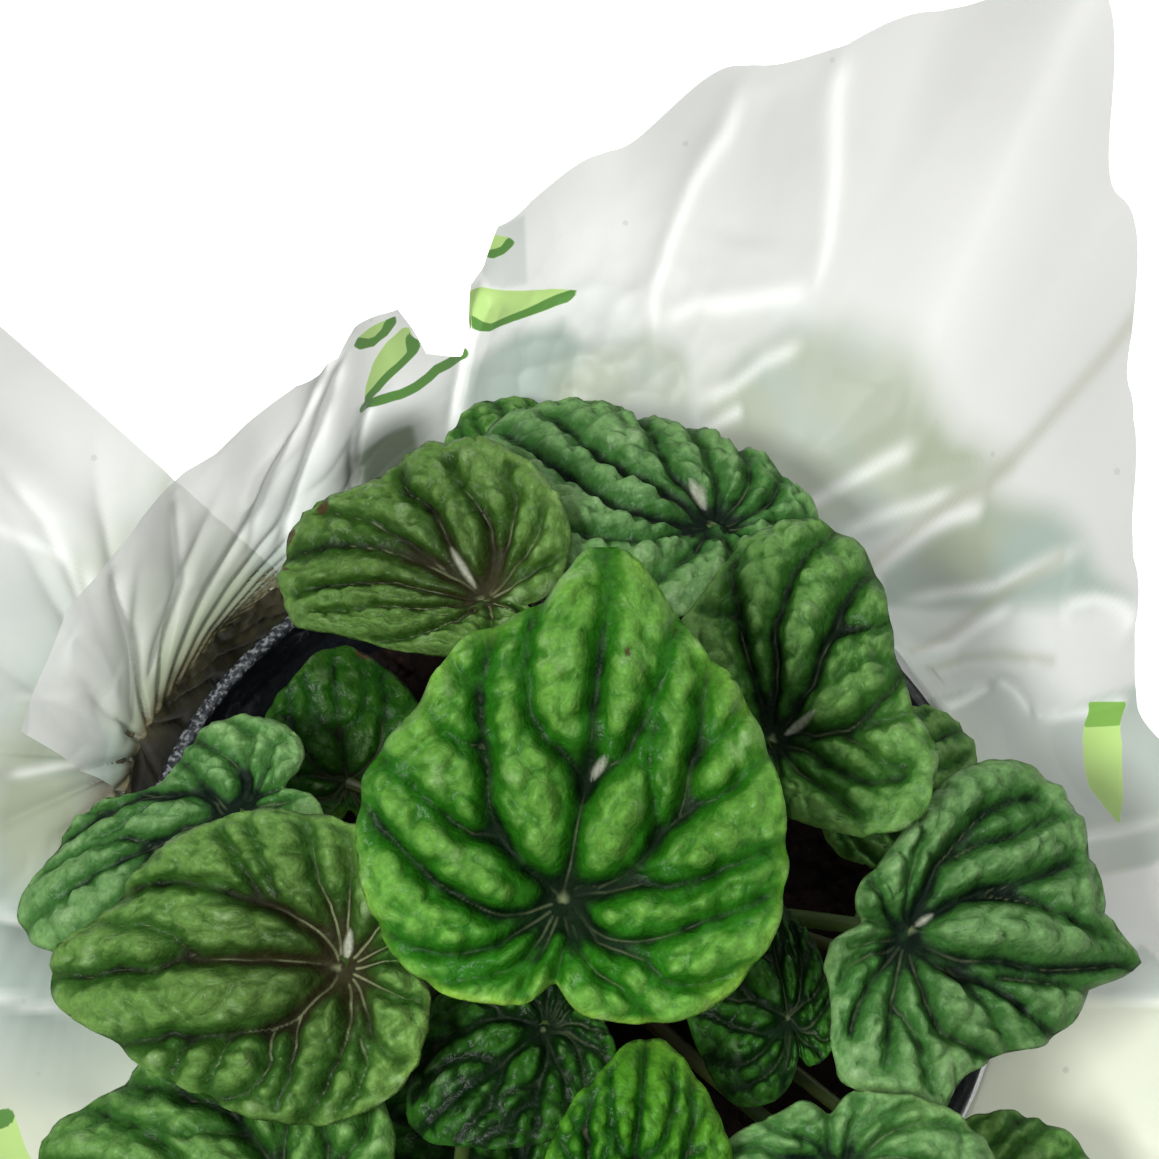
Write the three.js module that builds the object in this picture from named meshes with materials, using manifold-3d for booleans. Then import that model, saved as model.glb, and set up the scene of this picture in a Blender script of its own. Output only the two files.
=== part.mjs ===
// Ripple peperomia in a round nursery pot, wrapped in a clear film sleeve.
// Millimetres, +Z up. The origin is the middle of the pot's flat base.

import * as THREE from 'three';
import { mergeVertices } from 'three/addons/utils/BufferGeometryUtils.js';
import Module from 'manifold-3d';

const wasm = await Module();
wasm.setup();

// ---------------------------------------------------------------- driving dimensions

const TOUCH_GAP = 0.3;

const POT = {
  height: 88,
  baseRadius: 36,
  neckRadius: 47,
  neckHeight: 78,
  collarRadius: 50,
  collarFoot: 80,
  lipWidth: 1.9,
  wall: 1.0,
  floor: 1.4,
  baseEdge: 1.2,
  sides: 36,
  holes: 6,
  holeRadius: 3,
  holeCircle: 26,
};

const SOIL = { top: 76, bump: 1.1, gap: 0.6, sides: 28, rings: [0.3, 0.62, 0.88, 1] };

const CROWN = { radius: 11, foot: 72, top: 91, sides: 12, rings: 4 };

const LEAF = {
  thickness: 1.0,
  youngThickness: 0.8,
  youngLength: 14,
  relief: 0.15,
  grooveWidth: 0.05,
  rings: [0.2, 0.45, 0.72, 1],
  marginWave: 0.03,
  petioleRadius: 0.45,
  petioleRadiusShare: 0.02,
  petioleSides: 5,
  petioleSteps: 5,
};

// Directions of the sunken veins on one half of a blade, in degrees from the tip: where
// each leaves the junction and where it meets the margin.
const VEIN_START = [0, 46, 72, 98, 124, 152];
const VEIN_END = [0, 20, 44, 70, 100, 136];
const VEIN_DEPTH = [1.5, 1.5, 1.5, 1.5, 1.2, 1.2];
const SINUS_DEPTH = 1.2;
const VEIN_ARCH = 1.4;

// Petioles stand in two rings on the crown, in the same order round as their leaves.
const FOOT_RINGS = [
  { radius: 5.2, reaches: (reach) => reach <= 30 },
  { radius: 9.0, reaches: (reach) => reach > 30 },
];

// A leaf: where the petiole joins the blade; heading, pitch and roll in degrees;
// the length from the junction to the tip; and what sets its form apart. A lobe widens or
// narrows the margin by a share about one direction: direction and spread in degrees, share.
const leaf = (name, junction, [heading, pitch, roll], length, form = {}) => ({
  name,
  junction: new THREE.Vector3(...junction),
  heading,
  pitch,
  roll,
  length,
  left: 1,
  right: 1,
  cup: -0.1,
  droop: 0.1,
  dropLeft: 0,
  dropRight: 0,
  sweep: 0,
  arch: 0.78,
  lobes: [],
  colour: 0x3f7a35,
  ...form,
});

const LEAVES = [
  leaf('leaf_top', [0, -16, 129], [84, 22, 0], 36, { cup: -0.02, droop: 0.06, lobes: [[42, 17, -0.09], [-36, 17, -0.06]], colour: 0x4f9a36 }),
  leaf('leaf_left', [-23, -18, 115.5], [179, -8, -14], 32.5,
    { left: 0.88, right: 0.82, cup: -0.08, droop: 0.06, lobes: [[70, 38, -0.08]], colour: 0x4c7d3c }),
  leaf('leaf_left_under', [-36, 4, 104], [203, -12, 4], 28,
    { left: 0.95, right: 0.8, dropRight: 0.3, sweep: 0.05, arch: 0.6, colour: 0x35644a }),
  leaf('leaf_left_small', [-24, 13, 93], [100, 24, 0], 16,
    { left: 0.9, right: 0.9, cup: -0.05, arch: 0.9, colour: 0x36602c }),
  leaf('leaf_back_left', [-9, 26, 113], [162, -10, -14], 26,
    { left: 0.52, right: 1.05, cup: -0.08, droop: 0.08, dropLeft: 0.3, sweep: 0.1, colour: 0x4e7f3b }),
  leaf('leaf_back', [17, 38, 108], [149, 0, 18], 31,
    { left: 0.9, right: 0.88, cup: -0.12, dropRight: 0.15, lobes: [[-90, 32, -0.16]], colour: 0x2f6440 }),
  leaf('leaf_back_right', [23, 9, 118.4], [76, 12, -10], 25,
    {
      left: 0.85, right: 0.95, cup: -0.08, sweep: -0.1, colour: 0x437542,
      lobes: [[-45, 22, -0.14], [-88, 14, 0.16], [-120, 24, 0.34], [50, 14, 0.1], [5, 14, -0.05]],
    }),
  leaf('leaf_right', [36, -13, 113], [-3, -8, 9], 25.3,
    {
      left: 1.15, right: 1.05, sweep: 0.06, arch: 0.45, colour: 0x3c6f4c,
      lobes: [[0, 6, 0.06], [60, 16, 0.08], [20, 12, -0.1], [-45, 20, -0.08], [-82, 9, 0.14], [-118, 20, 0.1],
        [125, 22, -0.15]],
    }),
  leaf('leaf_front_left', [-28, -42, 105.6], [166, -8, -8], 31, { colour: 0x44823a }),
  leaf('leaf_front_bright', [7, -46, 115], [84, 18, 0], 20, { left: 0.8, right: 0.8, colour: 0x6cab3c }),
  leaf('leaf_mid_right', [23.6, -20.4, 107], [103, 4, 0], 17,
    { right: 0.5, lobes: [[150, 34, 0.62]], arch: 0.4, colour: 0x3f8036 }),
  leaf('leaf_front_inner', [-5, -36, 96.5], [150, 0, 0], 20, { left: 1.1, right: 1.1, colour: 0x2b5a2c }),
  leaf('leaf_mid_front', [-2, -23, 111], [215, -4, 0], 17, { colour: 0x2f6430 }),
  leaf('leaf_front_right', [28, -39.5, 113], [-80, -10, 0], 23,
    { left: 1.15, right: 1.1, cup: -0.08, arch: 0.3, lobes: [[180, 22, 0.42]], colour: 0x47805a }),
  leaf('leaf_far_right', [42, -40, 101.5], [-25, -4, 0], 18,
    { left: 1.2, right: 1.2, cup: -0.08, colour: 0x4d8748 }),
  leaf('leaf_front_small', [-17, -33, 92], [238, 2, 0], 13, { cup: -0.08, colour: 0x4c8b38 }),
  leaf('leaf_right_under', [32, 9, 98], [32, 0, 0], 17, { arch: 0.35, colour: 0x386a38 }),
  leaf('leaf_back_under', [-3, 46, 99], [112, -2, 0], 18, { colour: 0x386a40 }),
  leaf('leaf_front_low', [-12, -49, 103.5], [255, -11, 0], 19, { arch: 1.25, colour: 0x3f7838 }),
  leaf('leaf_front_mid', [10, -51, 106.5], [-80, -10, 0], 22, { colour: 0x3f7838 }),
  leaf('leaf_young_left', [-10, -2, 104], [140, 25, 0], 12, { left: 0.9, right: 0.9, cup: -0.05, colour: 0x6aa545 }),
  leaf('leaf_young_right', [8, -2, 100], [20, 30, 0], 10, { left: 0.9, right: 0.9, cup: -0.05, colour: 0x6aa545 }),
  leaf('leaf_right_low', [37, -11, 97.5], [10, -6, 0], 16, { arch: 0.35, colour: 0x386a38 }),
];

// The film is one sheet wrapped round the pot with its two side edges overlapping at the
// back left. From the collar a skirt hangs down to the hem and a flare opens upwards.
const SLEEVE = {
  start: 129,
  end: 525,
  overlapEnd: 165,
  overlapFade: 30,
  overlapStep: 1.6,
  thickness: 0.8,
  clearance: 0.5,
  standOff: 3,
  standOffAt: 145,
  standOffSpread: 28,
  collarHeight: 88.6,
  hemFold: 2.2,
  hemFolds: 16,
  flareRows: 5,
  wideStep: 7.5,
  fineStep: 4,
  fineUntil: 180,
  fineFrom: 480,
  creases: [
    { count: 9, depth: 0.9, phase: 0.4 },
    { count: 14, depth: 0.6, phase: 2.1 },
  ],
  pleats: { count: 30, depth: 1.0, middle: 145, spread: 30 },
};

// Stations of the flare: direction round the pot in degrees, then the radius and height
// of its shoulder, the radius and height of its free edge, and how far the edge swings round.
const FLARE = [
  [129, 68, 96, 88, 115, 8],
  [150, 68, 94, 91, 121, 4],
  [180, 72, 92, 91, 122, 0],
  [225, 80, 92, 93, 119, 0],
  [270, 78, 92, 95, 118, 0],
  [300, 82, 92, 98, 116, 0],
  [325, 84, 92, 99, 113, 0],
  [347, 72, 92, 88, 105, 0],
  [362, 63, 91, 76, 102, 0],
  [376, 58, 91, 68, 101, 0],
  [387, 57, 91, 74, 110, 0],
  [398, 57, 91, 82, 120, 0],
  [408, 59, 91, 93, 129, 0],
  [417, 61, 91, 110, 138, 0],
  [425, 63, 91, 100, 135, 0],
  [437, 66, 91, 90, 130, 0],
  [446, 69, 91, 83, 122, 0],
  [456, 71, 91, 77, 115, 0],
  [468, 69, 92, 71, 114, 0],
  [480, 62, 93, 66, 113, 0],
  [495, 60, 94, 67, 108, 0],
  [525, 59, 94, 66, 101, 0],
];

// Stations of the skirt below the collar: height, and how far inside the collar line it lies.
const SKIRT = [
  [4, 7.5],
  [42, 4.5],
  [79, 0],
];

const COLOURS = { pot: 0x1f2328, soil: 0x2a1a12, crown: 0x6d8a4a, sleeve: 0xdfe3df };

// ---------------------------------------------------------------- small helpers

const radians = THREE.MathUtils.degToRad;
const lerp = THREE.MathUtils.lerp;
const smooth = (s) => s * s * (3 - 2 * s);
const bell = (offset, width) => Math.exp(-((offset / width) ** 2));

function meshFrom(points, triangles) {
  const geometry = new THREE.BufferGeometry();
  geometry.setAttribute('position', new THREE.Float32BufferAttribute(points.flat(), 3));
  geometry.setIndex(triangles.flat());
  return geometry;
}

function solidFrom(geometry) {
  const bare = geometry.clone();
  bare.deleteAttribute('normal');
  bare.deleteAttribute('uv');
  const merged = mergeVertices(bare, 1e-4);
  const vertProperties = new Float32Array(merged.attributes.position.array);
  const triVerts = new Uint32Array(merged.index.array);
  return new wasm.Manifold(new wasm.Mesh({ numProp: 3, vertProperties, triVerts }));
}

function geometryFrom(solid) {
  const mesh = solid.getMesh();
  const geometry = new THREE.BufferGeometry();
  geometry.setAttribute('position', new THREE.BufferAttribute(mesh.vertProperties.slice(), 3));
  geometry.setIndex(new THREE.BufferAttribute(mesh.triVerts.slice(), 1));
  return geometry;
}

function lathe(profile, sides) {
  const geometry = new THREE.LatheGeometry(profile.map(([r, z]) => new THREE.Vector2(r, z)), sides);
  return geometry.rotateX(Math.PI / 2);
}

function named(name, geometry, colour, roughness) {
  const material = new THREE.MeshStandardMaterial({ color: colour, roughness, metalness: 0 });
  const mesh = new THREE.Mesh(geometry, material);
  mesh.name = name;
  return mesh;
}

// ---------------------------------------------------------------- pot, soil and crown

function potShell() {
  const { height, baseRadius, neckRadius, neckHeight, collarRadius, collarFoot } = POT;
  const { lipWidth, wall, floor, baseEdge, sides } = POT;
  const lipInside = collarRadius - lipWidth;
  const shell = solidFrom(lathe([
    [0, 0],
    [baseRadius - baseEdge, 0],
    [baseRadius, baseEdge],
    [neckRadius, neckHeight],
    [collarRadius, collarFoot],
    [collarRadius, height - 0.5],
    [collarRadius - 0.5, height],
    [lipInside, height],
    [lipInside, collarFoot + 1.2],
    [neckRadius - wall, neckHeight],
    [baseRadius - wall, floor],
    [0, floor],
  ], sides));
  const drill = new THREE.CylinderGeometry(POT.holeRadius, POT.holeRadius, 4 * floor, 12);
  drill.rotateX(Math.PI / 2);
  let pot = shell;
  for (let i = 0; i < POT.holes; i += 1) {
    const turn = ((i + 0.5) * 2 * Math.PI) / POT.holes;
    const hole = drill.clone();
    hole.translate(POT.holeCircle * Math.cos(turn), POT.holeCircle * Math.sin(turn), 0);
    pot = pot.subtract(solidFrom(hole));
  }
  return geometryFrom(pot);
}

const potInside = (z) => lerp(POT.baseRadius, POT.neckRadius, z / POT.neckHeight) - POT.wall;

function crownGeometry(grow) {
  const { radius, foot, top, sides, rings } = CROWN;
  const profile = [[0, foot - grow]];
  for (let i = 0; i < rings; i += 1) {
    const turn = (i / rings) * (Math.PI / 2);
    profile.push([(radius + grow) * Math.cos(turn), lerp(foot - grow, top + grow, Math.sin(turn))]);
  }
  profile.push([0, top + grow]);
  return lathe(profile, sides);
}

const crownHeight = (r) => lerp(CROWN.foot, CROWN.top, Math.sqrt(1 - (r / CROWN.radius) ** 2));

function soilBody() {
  const { top, bump, sides, rings } = SOIL;
  const floorHeight = POT.floor + TOUCH_GAP;
  const lowRadius = potInside(floorHeight) - SOIL.gap;
  const highRadius = potInside(top) - SOIL.gap;
  const points = [[0, 0, floorHeight], [0, 0, top]];
  const triangles = [];
  const at = (ring, side) => 2 + ring * sides + (side % sides);
  for (let side = 0; side < sides; side += 1) {
    const turn = (side * 2 * Math.PI) / sides;
    points.push([lowRadius * Math.cos(turn), lowRadius * Math.sin(turn), floorHeight]);
  }
  for (const share of [...rings].reverse()) {
    for (let side = 0; side < sides; side += 1) {
      const turn = (side * 2 * Math.PI) / sides;
      const r = share * highRadius;
      const lumps = Math.sin(5 * turn + 9 * share) + 0.7 * Math.sin(9 * turn - 14 * share);
      points.push([r * Math.cos(turn), r * Math.sin(turn), top + (share < 1 ? bump * lumps : 0)]);
    }
  }
  for (let side = 0; side < sides; side += 1) {
    triangles.push([0, at(0, side + 1), at(0, side)]);
    for (let ring = 0; ring < rings.length; ring += 1) {
      const [a, b] = [at(ring, side), at(ring, side + 1)];
      const [c, d] = [at(ring + 1, side + 1), at(ring + 1, side)];
      triangles.push([a, b, c], [a, c, d]);
    }
    triangles.push([1, at(rings.length, side), at(rings.length, side + 1)]);
  }
  return geometryFrom(solidFrom(meshFrom(points, triangles)).subtract(solidFrom(crownGeometry(TOUCH_GAP))));
}

// ---------------------------------------------------------------- leaves

// Distance from the junction to the margin, as a share of the length, in a direction from
// the tip: an egg shape with a short point and a notch between two rounded basal lobes.
function marginShare(angle, lobes) {
  const turn = Math.abs(angle);
  const egg = 0.587 + 0.26 * Math.cos(turn) + 0.033 * Math.cos(3 * turn) + 0.117 * bell(turn, 0.3);
  const notch = 1 - 0.3 * bell(Math.PI - turn, 0.2);
  return lobes.reduce((share, [direction, spread, amount]) => {
    const offset = Math.atan2(Math.sin(angle - radians(direction)), Math.cos(angle - radians(direction)));
    return share * (1 + amount * bell(offset, radians(spread)));
  }, egg * notch);
}

const veinAngle = (vein, share) => {
  const start = radians(VEIN_START[vein]);
  const end = radians(VEIN_END[vein]);
  return end + (start - end) * (1 - share) ** VEIN_ARCH;
};

// Height of the quilted surface: low along every vein and at the junction, high between.
function quilting(angle, share, { length, lobes }) {
  const r = share * marginShare(angle, lobes) * length;
  const width = LEAF.grooveWidth * length;
  let sunk = SINUS_DEPTH * Math.exp((-r * (Math.PI - Math.abs(angle))) / width);
  VEIN_DEPTH.forEach((depth, vein) => {
    const direction = veinAngle(vein, share);
    for (const side of vein === 0 ? [1] : [1, -1]) {
      sunk += depth * Math.exp((-r * Math.abs(angle - side * direction)) / width);
    }
  });
  return LEAF.relief * length * Math.exp(-sunk) * (1 - 0.5 * share ** 5);
}

function bladePoint(form, angle, share) {
  const { length, left, right, cup, droop, dropLeft, dropRight, sweep, lobes } = form;
  const r = share * marginShare(angle, lobes) * length;
  const across = r * Math.sin(angle);
  const y = across * (across > 0 ? left : right);
  const x = r * Math.cos(angle) + sweep * Math.abs(y);
  const u = x / length;
  const v = y / length;
  const bend = cup * (u * u + v * v) - droop * Math.max(u, 0) ** 3 - (v > 0 ? dropLeft : dropRight) * v * v;
  const ruffle = LEAF.marginWave * share ** 3 * Math.sin(3 * angle);
  return new THREE.Vector3(x, y, quilting(angle, share, form) + length * (bend + ruffle));
}

function leafMatrix(form) {
  const turn = new THREE.Matrix4().makeRotationZ(radians(form.heading));
  turn.multiply(new THREE.Matrix4().makeRotationY(-radians(form.pitch)));
  turn.multiply(new THREE.Matrix4().makeRotationX(radians(form.roll)));
  return turn.setPosition(form.junction);
}

// Columns run along every vein and along the ridge between each two neighbours.
function columnAngles(share) {
  const half = VEIN_START.map((_, vein) => veinAngle(vein, share));
  const veins = [-Math.PI, ...half.slice(1).reverse().map((angle) => -angle), ...half];
  return veins.flatMap((angle, i) => {
    const next = i + 1 < veins.length ? veins[i + 1] : Math.PI;
    return [angle, (angle + next) / 2];
  });
}

function bladeGeometry(form, matrix, thickness) {
  const rings = LEAF.rings.map((share) => columnAngles(share).map((angle) => bladePoint(form, angle, share)));
  const columns = rings[0].length;
  const perFace = 1 + rings.length * columns;
  const middle = new THREE.Vector3(0, 0, quilting(0, 0, form));
  const face = [middle, ...rings.flat()];
  const points = [0, thickness].flatMap((down) => face.map(
    (point) => point.clone().setZ(point.z - down).applyMatrix4(matrix).toArray(),
  ));
  const at = (ring, column) => 1 + ring * columns + (column % columns);
  const triangles = [];
  const bothFaces = (a, b, c) => triangles.push([a, b, c], [a + perFace, c + perFace, b + perFace]);
  for (let column = 0; column < columns; column += 1) {
    bothFaces(0, at(0, column), at(0, column + 1));
    for (let ring = 0; ring + 1 < rings.length; ring += 1) {
      const [a, b] = [at(ring, column), at(ring, column + 1)];
      const [c, d] = [at(ring + 1, column + 1), at(ring + 1, column)];
      bothFaces(a, d, c);
      bothFaces(a, c, b);
    }
    const [e, f] = [at(rings.length - 1, column), at(rings.length - 1, column + 1)];
    triangles.push([e, e + perFace, f + perFace], [e, f + perFace, f]);
  }
  return meshFrom(points, triangles);
}

// Where each petiole stands: its ring on the crown is shared out evenly, turned so that
// the feet come as near as they can to the directions of their own leaves.
function petioleFeet(leaves) {
  const feet = new Map();
  for (const ring of FOOT_RINGS) {
    const direction = (form) => Math.atan2(form.junction.y, form.junction.x);
    const members = leaves.filter(({ junction }) => ring.reaches(Math.hypot(junction.x, junction.y)));
    members.sort((a, b) => direction(a) - direction(b));
    const step = (2 * Math.PI) / members.length;
    const offsets = members.map((form, i) => direction(form) - i * step);
    const east = offsets.reduce((sum, angle) => sum + Math.cos(angle), 0);
    const north = offsets.reduce((sum, angle) => sum + Math.sin(angle), 0);
    const first = Math.atan2(north, east);
    members.forEach((form, i) => {
      const turn = first + i * step;
      const [x, y] = [ring.radius * Math.cos(turn), ring.radius * Math.sin(turn)];
      feet.set(form.name, new THREE.Vector3(x, y, crownHeight(ring.radius) - 2));
    });
  }
  return feet;
}

function petioleGeometry(form, foot, matrix, radius) {
  const normal = new THREE.Vector3().setFromMatrixColumn(matrix, 2);
  const end = form.junction.clone().addScaledVector(normal, -0.45);
  const reach = end.clone().sub(foot);
  const bend = foot.clone().add(new THREE.Vector3(0.42 * reach.x, 0.42 * reach.y, form.arch * reach.z));
  const path = new THREE.QuadraticBezierCurve3(foot, bend, end);
  const section = new THREE.Shape();
  for (let i = 0; i < LEAF.petioleSides; i += 1) {
    const turn = (i * 2 * Math.PI) / LEAF.petioleSides;
    const [x, y] = [radius * Math.cos(turn), radius * Math.sin(turn)];
    if (i === 0) section.moveTo(x, y);
    else section.lineTo(x, y);
  }
  section.closePath();
  return new THREE.ExtrudeGeometry(section, {
    steps: LEAF.petioleSteps, bevelEnabled: false, extrudePath: path,
  });
}

function leafSolid(form, foot, crownSocket) {
  const thickness = form.length < LEAF.youngLength ? LEAF.youngThickness : LEAF.thickness;
  const matrix = leafMatrix(form);
  const blade = solidFrom(bladeGeometry(form, matrix, thickness));
  const radius = LEAF.petioleRadius + LEAF.petioleRadiusShare * form.length;
  const petiole = solidFrom(petioleGeometry(form, foot, matrix, radius));
  return geometryFrom(blade.add(petiole.subtract(crownSocket)));
}

// ---------------------------------------------------------------- film sleeve

function flareStation(direction) {
  const last = FLARE.length - 1;
  let i = 0;
  while (i < last - 1 && FLARE[i + 1][0] < direction) i += 1;
  const [from, to] = [FLARE[i], FLARE[i + 1]];
  const s = smooth((direction - from[0]) / (to[0] - from[0]));
  return from.slice(1).map((value, k) => lerp(value, to[k + 1], s));
}

// The line of the film in one direction: height is -1 at the hem, 0 at the collar, 1 at the edge.
// The skirt passes through its stations, folded more and more towards the hem.
function filmLine(direction, height) {
  const [shoulderRadius, shoulderHeight, edgeRadius, edgeHeight, swing] = flareStation(direction);
  const around = radians(direction);
  const fade = THREE.MathUtils.clamp((direction - SLEEVE.overlapEnd) / SLEEVE.overlapFade, 0, 1);
  const step = SLEEVE.overlapStep * (1 - smooth(fade));
  const off = ((direction - SLEEVE.standOffAt + 540) % 360) - 180;
  const standOff = SLEEVE.standOff * bell(off, SLEEVE.standOffSpread);
  const collar = POT.collarRadius + SLEEVE.clearance + standOff + step;
  const pleatOff = ((direction - SLEEVE.pleats.middle + 540) % 360) - 180;
  if (height < 0) {
    const place = (1 + height) * SKIRT.length;
    const i = Math.min(Math.floor(place), SKIRT.length - 1);
    const above = SKIRT[i + 1] ?? [SLEEVE.collarHeight, 0];
    const z = lerp(SKIRT[i][0], above[0], place - i);
    const inset = lerp(SKIRT[i][1], above[1], place - i);
    const fold = SLEEVE.hemFold * Math.sin(SLEEVE.hemFolds * around) * (1 - z / SKIRT.at(-1)[0]);
    return [collar - inset + Math.max(fold, -inset), z, around];
  }
  const [a, b, c] = [(1 - height) ** 2, 2 * height * (1 - height), height ** 2];
  const r = a * collar + b * (shoulderRadius + step) + c * (edgeRadius + step);
  const z = a * SLEEVE.collarHeight + b * shoulderHeight + c * edgeHeight;
  const waves = SLEEVE.creases.reduce(
    (sum, { count, depth, phase }) => sum + depth * Math.sin(count * around + phase), 0,
  );
  const pleat = SLEEVE.pleats.depth * Math.sin(SLEEVE.pleats.count * around) * bell(pleatOff, SLEEVE.pleats.spread);
  const rise = height * (1.6 - height);
  return [r + 0.5 * (waves * rise + pleat * rise), z - (waves * rise + pleat * rise), around + radians(swing * height)];
}

function filmPoint(direction, height, outward) {
  const nudge = 0.02;
  const [r, z, around] = filmLine(direction, height);
  const [lowRadius, lowHeight] = filmLine(direction, Math.max(height - nudge, -1));
  const [highRadius, highHeight] = filmLine(direction, Math.min(height + nudge, 1));
  const run = Math.hypot(highRadius - lowRadius, highHeight - lowHeight);
  const pushed = r + (outward * (highHeight - lowHeight)) / run;
  const lowered = z - (outward * (highRadius - lowRadius)) / run;
  return [pushed * Math.cos(around), pushed * Math.sin(around), lowered];
}

function sleeveGeometry() {
  const { start, end, fineUntil, fineFrom, fineStep, wideStep, flareRows } = SLEEVE;
  const stretch = (from, to, step) => {
    const count = Math.round((to - from) / step);
    return Array.from({ length: count }, (_, i) => lerp(from, to, i / count));
  };
  const directions = [
    ...stretch(start, fineUntil, fineStep),
    ...stretch(fineUntil, fineFrom, wideStep),
    ...stretch(fineFrom, end, fineStep),
    end,
  ];
  const heights = [];
  for (let row = -SKIRT.length; row <= flareRows; row += 1) {
    heights.push(row < 0 ? row / SKIRT.length : row / flareRows);
  }
  const [columns, rows] = [directions.length, heights.length];
  const faces = [0, SLEEVE.thickness].map(
    (outward) => directions.flatMap((direction) => heights.map((height) => filmPoint(direction, height, outward))),
  );
  const perFace = columns * rows;
  const at = (column, row) => column * rows + row;
  const triangles = [];
  const bothFaces = (a, b, c) => triangles.push([a, c, b], [a + perFace, b + perFace, c + perFace]);
  const border = (a, b) => triangles.push([a, b, b + perFace], [a, b + perFace, a + perFace]);
  for (let column = 0; column + 1 < columns; column += 1) {
    for (let row = 0; row + 1 < rows; row += 1) {
      const [a, b] = [at(column, row), at(column + 1, row)];
      const [c, d] = [at(column + 1, row + 1), at(column, row + 1)];
      bothFaces(a, b, c);
      bothFaces(a, c, d);
    }
    border(at(column, 0), at(column + 1, 0));
    border(at(column + 1, rows - 1), at(column, rows - 1));
  }
  for (let row = 0; row + 1 < rows; row += 1) {
    border(at(0, row + 1), at(0, row));
    border(at(columns - 1, row), at(columns - 1, row + 1));
  }
  return meshFrom(faces.flat(), triangles);
}

// ---------------------------------------------------------------- the plant in its pot

const plant = new THREE.Group();
const crownSocket = solidFrom(crownGeometry(TOUCH_GAP));
const feet = petioleFeet(LEAVES);

plant.add(named('pot', potShell(), COLOURS.pot, 0.45));
plant.add(named('soil', soilBody(), COLOURS.soil, 0.95));
plant.add(named('crown', geometryFrom(solidFrom(crownGeometry(0))), COLOURS.crown, 0.6));
for (const form of LEAVES) {
  plant.add(named(form.name, leafSolid(form, feet.get(form.name), crownSocket), form.colour, 0.42));
}
plant.add(named('sleeve', sleeveGeometry(), COLOURS.sleeve, 0.25));

export default plant;
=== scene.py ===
import math

import bmesh
import bpy
import numpy as np
from mathutils import Matrix, Vector, noise


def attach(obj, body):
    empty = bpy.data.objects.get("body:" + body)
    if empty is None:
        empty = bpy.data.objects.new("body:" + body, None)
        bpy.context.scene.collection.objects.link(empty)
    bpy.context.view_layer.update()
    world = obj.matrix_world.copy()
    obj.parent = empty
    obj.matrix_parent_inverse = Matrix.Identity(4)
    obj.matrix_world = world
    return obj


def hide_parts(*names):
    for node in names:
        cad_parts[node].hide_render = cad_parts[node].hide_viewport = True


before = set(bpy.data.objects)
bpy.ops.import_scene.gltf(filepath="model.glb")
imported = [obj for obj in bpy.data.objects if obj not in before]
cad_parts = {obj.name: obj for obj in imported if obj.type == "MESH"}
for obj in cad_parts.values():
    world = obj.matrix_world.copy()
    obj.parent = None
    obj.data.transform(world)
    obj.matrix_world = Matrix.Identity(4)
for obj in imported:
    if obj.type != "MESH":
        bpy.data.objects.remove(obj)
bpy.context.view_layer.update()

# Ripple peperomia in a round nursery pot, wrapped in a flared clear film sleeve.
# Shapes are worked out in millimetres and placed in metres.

MM = 0.001


# ------------------------------------------------------------------ small helpers

def tone(code):
    """A linear colour from a plain web colour code."""
    parts = [int(code[i:i + 2], 16) / 255 for i in (1, 3, 5)]
    return tuple(p / 12.92 if p <= 0.04045 else ((p + 0.055) / 1.055) ** 2.4 for p in parts) + (1.0,)


def smooth(low, high, value):
    """0 at low, 1 at high and eased between them; low may lie above high."""
    share = np.clip((value - low) / (high - low), 0, 1)
    return share * share * (3 - 2 * share)


def bell(offset, width):
    """1 where the offset is nothing, falling off over the width."""
    return np.exp(-(offset / width) ** 2)


def turn_between(a, b):
    """The smallest turn from b to a, in radians."""
    return np.arctan2(np.sin(a - b), np.cos(a - b))


def new_piece(name, bm, materials):
    """Turns a finished bmesh into an object at the origin."""
    mesh = bpy.data.meshes.new(name)
    bm.to_mesh(mesh)
    bm.free()
    for material in materials:
        mesh.materials.append(material)
    mesh.polygons.foreach_set("use_smooth", [True] * len(mesh.polygons))
    piece = bpy.data.objects.new(name, mesh)
    bpy.context.scene.collection.objects.link(piece)
    return piece


def polar_disc(rings, columns):
    """A flat disc of rings round a pole: a spoke of vertices spun once round the axis."""
    bm = bmesh.new()
    spoke = [bm.verts.new((share, 0, 0)) for share in [0.0] + list(rings)]
    edges = [bm.edges.new(pair) for pair in zip(spoke, spoke[1:])]
    bmesh.ops.spin(bm, geom=spoke + edges, cent=(0, 0, 0), axis=(0, 0, 1), angle=2 * math.pi,
                   steps=columns, use_merge=True)
    bmesh.ops.remove_doubles(bm, verts=bm.verts, dist=1e-6)
    bmesh.ops.recalc_face_normals(bm, faces=bm.faces)
    if sum(face.normal.z for face in bm.faces) < 0:
        bmesh.ops.reverse_faces(bm, faces=bm.faces)
    return bm


def places(bm):
    return np.array([vertex.co[:] for vertex in bm.verts])


def move_to(bm, points):
    for vertex, point in zip(bm.verts, points):
        vertex.co = point


def store(bm, name, values):
    """Keeps one number a vertex on the mesh, for its material to read."""
    layer = bm.verts.layers.float.new(name)
    for vertex, value in zip(bm.verts, values):
        vertex[layer] = value


# ------------------------------------------------------------------ shader helpers

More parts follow.
